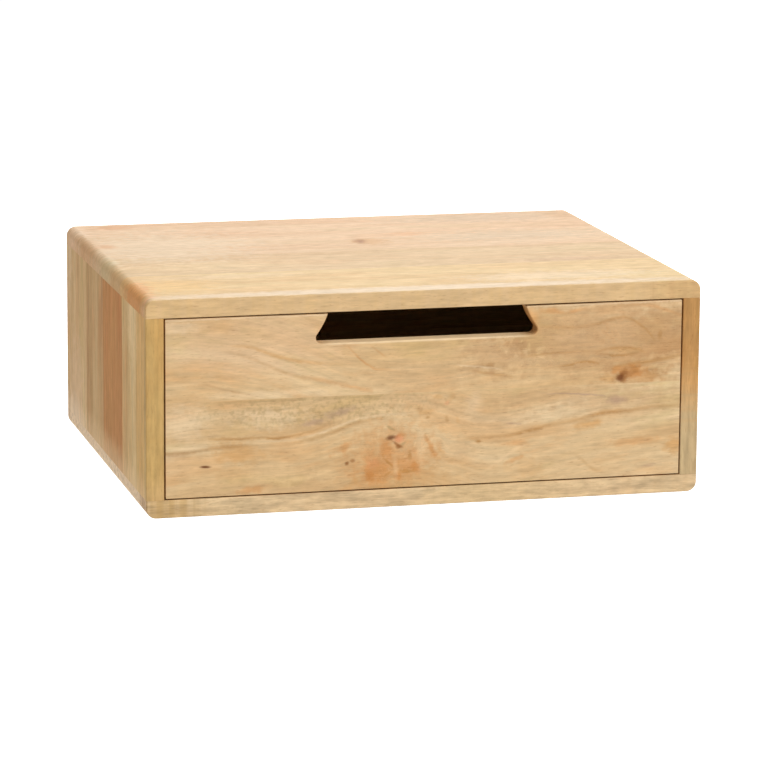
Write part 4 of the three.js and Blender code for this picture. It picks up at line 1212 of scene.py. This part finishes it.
TOP_SPOTS = [
    ((-185, 66), (120, 120), 0, 0.9, "dcc29c", 0.6),
    ((150, 66), (120, 44), 0, 0.9, "c6aa84", 0.6),
    ((-165, -42), (120, 36), 0, 0.5, "eccc94", 0.35),
    ((150, 172), (130, 38), 0, 0.9, "c4a681", 0.6),
    ((12, 58), (26, 28), 0, 0.7, "c9934f", 0.6),
    ((3, 60), (9, 19), -8, 0.4, "a8702f", 0.85),
    ((3, 57), (3.4, 9), -8, 0.4, "8a5422", 0.5),
    ((55, 92), (24, 17), 0, 1, "d89c62", 0.5),
    ((-208, 182), (30, 18), 0, 0.8, "c98a4c", 0.7),
    ((120, 194), (180, 16), 0, 0.8, "d0a070", 0.3),
    ((232, 172), (26, 40), 0, 0.7, "c99a62", 0.55),
    ((-233, 77), (12, 16), 0, 0.7, AMBER, 0.6),
    ((-145, -55), (30, 10), -34, 0.9, OLIVE, 0.2),
    ((165, -70), (64, 13), 0, 0.9, TAN, 0.5),
    ((150, 6), (60, 9), 0, 0.9, TAN, 0.3),
    ((-215, -135), (60, 50), 0, 0.9, "e3b466", 0.6),
    ((130, -150), (130, 30), 0, 0.8, "e3cbac", 0.4),
    ((-160, -98), (100, 16), 0, 0.8, "e4c79c", 0.4),
    # Painted highlight: a pale strip along the top's front edge, where its arris catches the light.
    ((0, -188), (420, 18), 0, 0.5, "e3ccad", 0.8),
    ((-250, -145), (24, 70), 0, 0.7, "d68b45", 0.65),
    ((-252, -5), (20, 48), 0, 0.7, "d3c399", 0.5),
    ((-250, 90), (20, 40), 0, 0.9, AMBER, 0.3),
    ((-252, 172), (20, 50), 0, 0.9, "f0d4b4", 0.5),
    ((0, -201.5), (1500, 4), 0, 0.2, "d6b384", 0.85),
    ((236, -202), (46, 5), 0, 0.8, "c59c68", 0.6),
]
BOTTOM_SPOTS = [
    # Painted bounce light: the board's left end is laid paler, as light from the floor brightens it.
    ((-252, 0), (10, 600), 0, 0.12, "f8dfbe", 0.85),
    ((0, -201.5), (1500, 4), 0, 0.2, "d9bd94", 0.85),
    ((-234, -202), (44, 6), 0, 0.7, "bb9760", 0.85),
    ((60, -201), (100, 5), 0, 0.9, "c8a878", 0.5),
    # These two darken the front and rear corners of the board's left end.
    ((-254, -186), (14, 24), 0, 0.7, "b08a60", 0.7),
    ((-254, 196), (14, 18), 0, 0.7, "b89474", 0.5),
]
print("stains of the cabinet:", sum(map(len, (LEFT_SPOTS, RIGHT_SPOTS, TOP_SPOTS, BOTTOM_SPOTS))))

# %% [markdown]
# ## Cabinet wood
#
# The grain of the top and bottom runs along the width, and that of the sides runs up, so that the four
# boards grow and shrink together. The rail and the drawer's box are cut from the same wood, and they are
# plainer, since they hardly show. A board's axes are those along its grain, across it and into it.

# %% Cabinet wood
RAIL_STAVES = [(0, 0.58, "f6ecdc"), (150, 0.66, "f1e6d4")]
BOX_STAVES = [(0, 0.15, "fbf3e6"), (88, 0.62, "f6eddd")]
BOX_LOOKS = {"clouding": 0.7, "lines": 0.8}
half_depth = shell_high[Y] / MM
for name, axes, rows, spots, looks in (
    ("top", (X, Y, Z), TOP_STAVES, TOP_SPOTS, {"ended": 0.5, "clouding": 0.4, "lines": 0.35}),
    ("bottom", (X, Y, Z), BOTTOM_STAVES, BOTTOM_SPOTS, {"ended": 0.3, "clouding": 0.8, "flecks": 1.9}),
    ("left_side", (Z, Y, X), LEFT_STAVES, LEFT_SPOTS, {"clouding": 0.8}),
    ("right_side", (Z, Y, X), RIGHT_STAVES, RIGHT_SPOTS, {"clouding": 0.8}),
):
    wood = mango(f"mango_{name}", axes, -half_depth, half_depth, rows, stained(spots), **looks)
    paint_piece(f"{name}_board", wood)

for name, axes, rows, pieces, looks in (
    ("rail", (X, Z, Y), RAIL_STAVES, ["rear_rail"], {}),
    ("box_side", (Y, Z, X), BOX_STAVES, ["left_drawer_board", "right_drawer_board"], BOX_LOOKS),
    ("box_rear", (X, Z, Y), BOX_STAVES, ["rear_drawer_board"], BOX_LOOKS),
):
    wood = mango(f"mango_{name}", axes, 0, round(shell_high[Z] / MM), rows, **looks)
    for piece in pieces:
        paint_piece(piece, wood)
print("cabinet wood is on")

# %% [markdown]
# ## Plywood
#
# The back and the drawer's bottom are three-ply birch, 5 mm thick. Its faces are veneers peeled round the
# log, so their figure is broad and wavy, with short fine pores. The plies show only at the edges: where
# the surface doesn't face out of the sheet, a ramp through its thickness draws pale faces, a darker core
# and two thin glue lines.

# %% Plywood
VENEER_STOPS = [(0.36, "d1b487"), (0.5, "d9bd92"), (0.64, "e0c79e")]
PLY_STOPS = [(0, "dcc198"), (0.32, "8d6a45"), (0.35, "bd986a"), (0.65, "8d6a45"), (0.68, "dcc198")]
VENEER_WAVE = 22
WAVE_SIZE = (130, 70)
VENEER_STREAK = (320, 9)
# How far a face looks out of the sheet where its plies are gone, and where they show in full.
EDGE_FACING = (0.75, 0.45)


def plywood(name, axes, node):
    """Three-ply birch for a sheet. Axes are those along its face grain, across it and through it."""
    made, tree = new_material(name)
    along, across, depth = grain_space(tree, *axes)
    low, high = [corner[axes[2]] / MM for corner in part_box(node)]
    sheet = add(tree, "CombineXYZ", (along, across))
    wave = add(tree, "MapRange", (streaks(tree, sheet, *WAVE_SIZE, 2), 0, 1, -VENEER_WAVE, VENEER_WAVE))
    waved = add(tree, "Math", (across, wave), operation="ADD")
    point = add(tree, "CombineXYZ", (along, waved))
    veneer = add(tree, "ValToRGB", (streaks(tree, point, *VENEER_STREAK, 3),), stops=tones(VENEER_STOPS))
    plies = add(tree, "ValToRGB", (add(tree, "MapRange", (depth, low, high)),), stops=tones(PLY_STOPS))
    plies.node.color_ramp.interpolation = "CONSTANT"
    facing = add(tree, "SeparateXYZ", (add(tree, "TexCoord", out=1),)).node.outputs[axes[2]]
    edge = add(tree, "MapRange", (add(tree, "Math", (facing,), operation="ABSOLUTE"), *EDGE_FACING))
    base = add(tree, "Mix", {0: edge, 6: veneer, 7: plies}, **LAID_OVER)
    wood_surface(tree, base, wood_grain(tree, point, point, lines=0.35, flecks=0.7), point)
    return made


paint_piece("drawer_floor", plywood("birch_ply_drawer", (X, Y, Z), "drawer_bottom"))
paint_piece("back_sheet", plywood("birch_ply_back", (X, Z, Y), "back_panel"))
print("plywood is on")

# %% [markdown]
# ## Dowels
#
# The dowels are turned from beech, a pinkish wood with thousands of small brown rays. They hide in their
# holes, and show only where the pieces are taken apart. The frame's own solids are right for them.

# %% Beech
BEECH_STOPS = [(0.38, "cfa57a"), (0.5, "dab48a"), (0.62, "e2c09a")]
BEECH_STREAK = (40, 4)
RAY_TINT = "b98a60"
RAY_SIZE = (2.4, 0.5)
RAY_RELIEF = 0.05 * MM


def dress_nodes(slot_name, made):
    """Gives every node of the frame that has this finish its material."""
    dressed = 0
    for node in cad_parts.values():
        if node.material_slots[0].material.name.split(".")[0] == slot_name:
            node.material_slots[0].material = made
            dressed += 1
    print(slot_name, "on", dressed, "nodes")


beech, tree = new_material("turned_beech")
along, across, depth = grain_space(tree, Z, X, Y)
point = add(tree, "CombineXYZ", (along, across, depth))
broad = add(tree, "ValToRGB", (streaks(tree, point, *BEECH_STREAK, 2),), stops=tones(BEECH_STOPS))
ray = add(tree, "MapRange", (streaks(tree, point, *RAY_SIZE, 1), 0.58, 0.7, 0, 0.8))
rayed = add(tree, "Mix", {0: ray, 6: broad, 7: colour(RAY_TINT)}, **TINTED)
relief = add(tree, "Bump", {"Height": ray, "Strength": 0.2, "Distance": RAY_RELIEF})
sockets = {"Base Color": rayed, "Roughness": 0.6, "Normal": relief, "IOR": 1.5, "Specular IOR Level": 0.3}
add(tree, "OutputMaterial", (add(tree, "BsdfPrincipled", sockets),))
dress_nodes("dowel_wood", beech)

# %% [markdown]
# ## Steel and plastic
#
# Drawer slides are rolled from zinc-plated steel strip. Rolling leaves fine lines along the strip, and the
# plating has a soft, slightly blue, cloudy shine. The screws are nickel plated, which is warmer and
# smoother. Levers and bumpers are moulded in black nylon from a spark-eroded mould, so they have a fine
# even grit. Each is one metal or plastic shader whose roughness and bump come from noise of that size.

# %% Metal and plastic
STRIP_LINE = 0.5
PLATE_GRAIN = 1.5
MOULD_GRIT = 0.7
CLOUD_SIZE = 9
# A row is the slot, the finish, its tone and darker tone, whether it is a metal, its least and greatest
# roughness, the size of its lines or grit along and across, and their depth. Sizes are in millimetres.
FITTINGS = [
    ("zinc_steel", "zinc_plated_steel", "b9bdc2", "9ea3a9", 1, (0.26, 0.44), (40, STRIP_LINE), 0.02),
    ("screw_steel", "nickel_plated_steel", "bdb8ad", "a49f95", 1, (0.18, 0.34), (PLATE_GRAIN,) * 2, 0.01),
    ("black_plastic", "black_nylon", "1d1d1e", "141415", 0, (0.42, 0.6), (MOULD_GRIT,) * 2, 0.03),
]


def fitting_finish(name, tone, darker, metallic, rough, fine, depth):
    """A plated metal or a moulded plastic."""
    made, tree = new_material(name)
    point = add(tree, "CombineXYZ", grain_space(tree, Y, Z, X))
    lines = streaks(tree, point, *fine, 2)
    clouds = add(tree, "TexNoise", {"Vector": point, "Scale": 1 / CLOUD_SIZE, "Detail": 2})
    base = add(tree, "Mix", {0: clouds, 6: colour(tone), 7: colour(darker)}, **LAID_OVER)
    mixed = add(tree, "Math", (lines, clouds), operation="ADD")
    roughness = add(tree, "MapRange", (mixed, 0.6, 1.4, *rough))
    bump = add(tree, "Bump", {"Height": lines, "Strength": 0.5, "Distance": depth * MM})
    sockets = {"Base Color": base, "Metallic": metallic, "Roughness": roughness, "Normal": bump}
    add(tree, "OutputMaterial", (add(tree, "BsdfPrincipled", sockets),))
    return made


for slot_name, *look in FITTINGS:
    dress_nodes(slot_name, fitting_finish(*look))

# %% [markdown]
# ## Edges of the fittings
#
# Stamped strip and moulded nylon have no knife edges. The frame's solids come as loose triangles, so a
# weld joins them first, and a small bevel then catches a line of light along each edge.

# %% Edges of the fittings
WELD_DISTANCE = 0.002 * MM
EDGE_SIZES = {"zinc_plated_steel": 0.15 * MM, "nickel_plated_steel": 0.12 * MM, "black_nylon": 0.4 * MM}
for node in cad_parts.values():
    width = EDGE_SIZES.get(node.material_slots[0].material.name)
    if width is None:
        continue
    weld = node.modifiers.new("weld", "WELD")
    weld.merge_threshold = WELD_DISTANCE
    bevel = node.modifiers.new("eased edges", "BEVEL")
    bevel.limit_method = "ANGLE"
    bevel.angle_limit = FACET_ANGLE
    bevel.width = width
    bevel.segments = 2
print("fittings are eased")
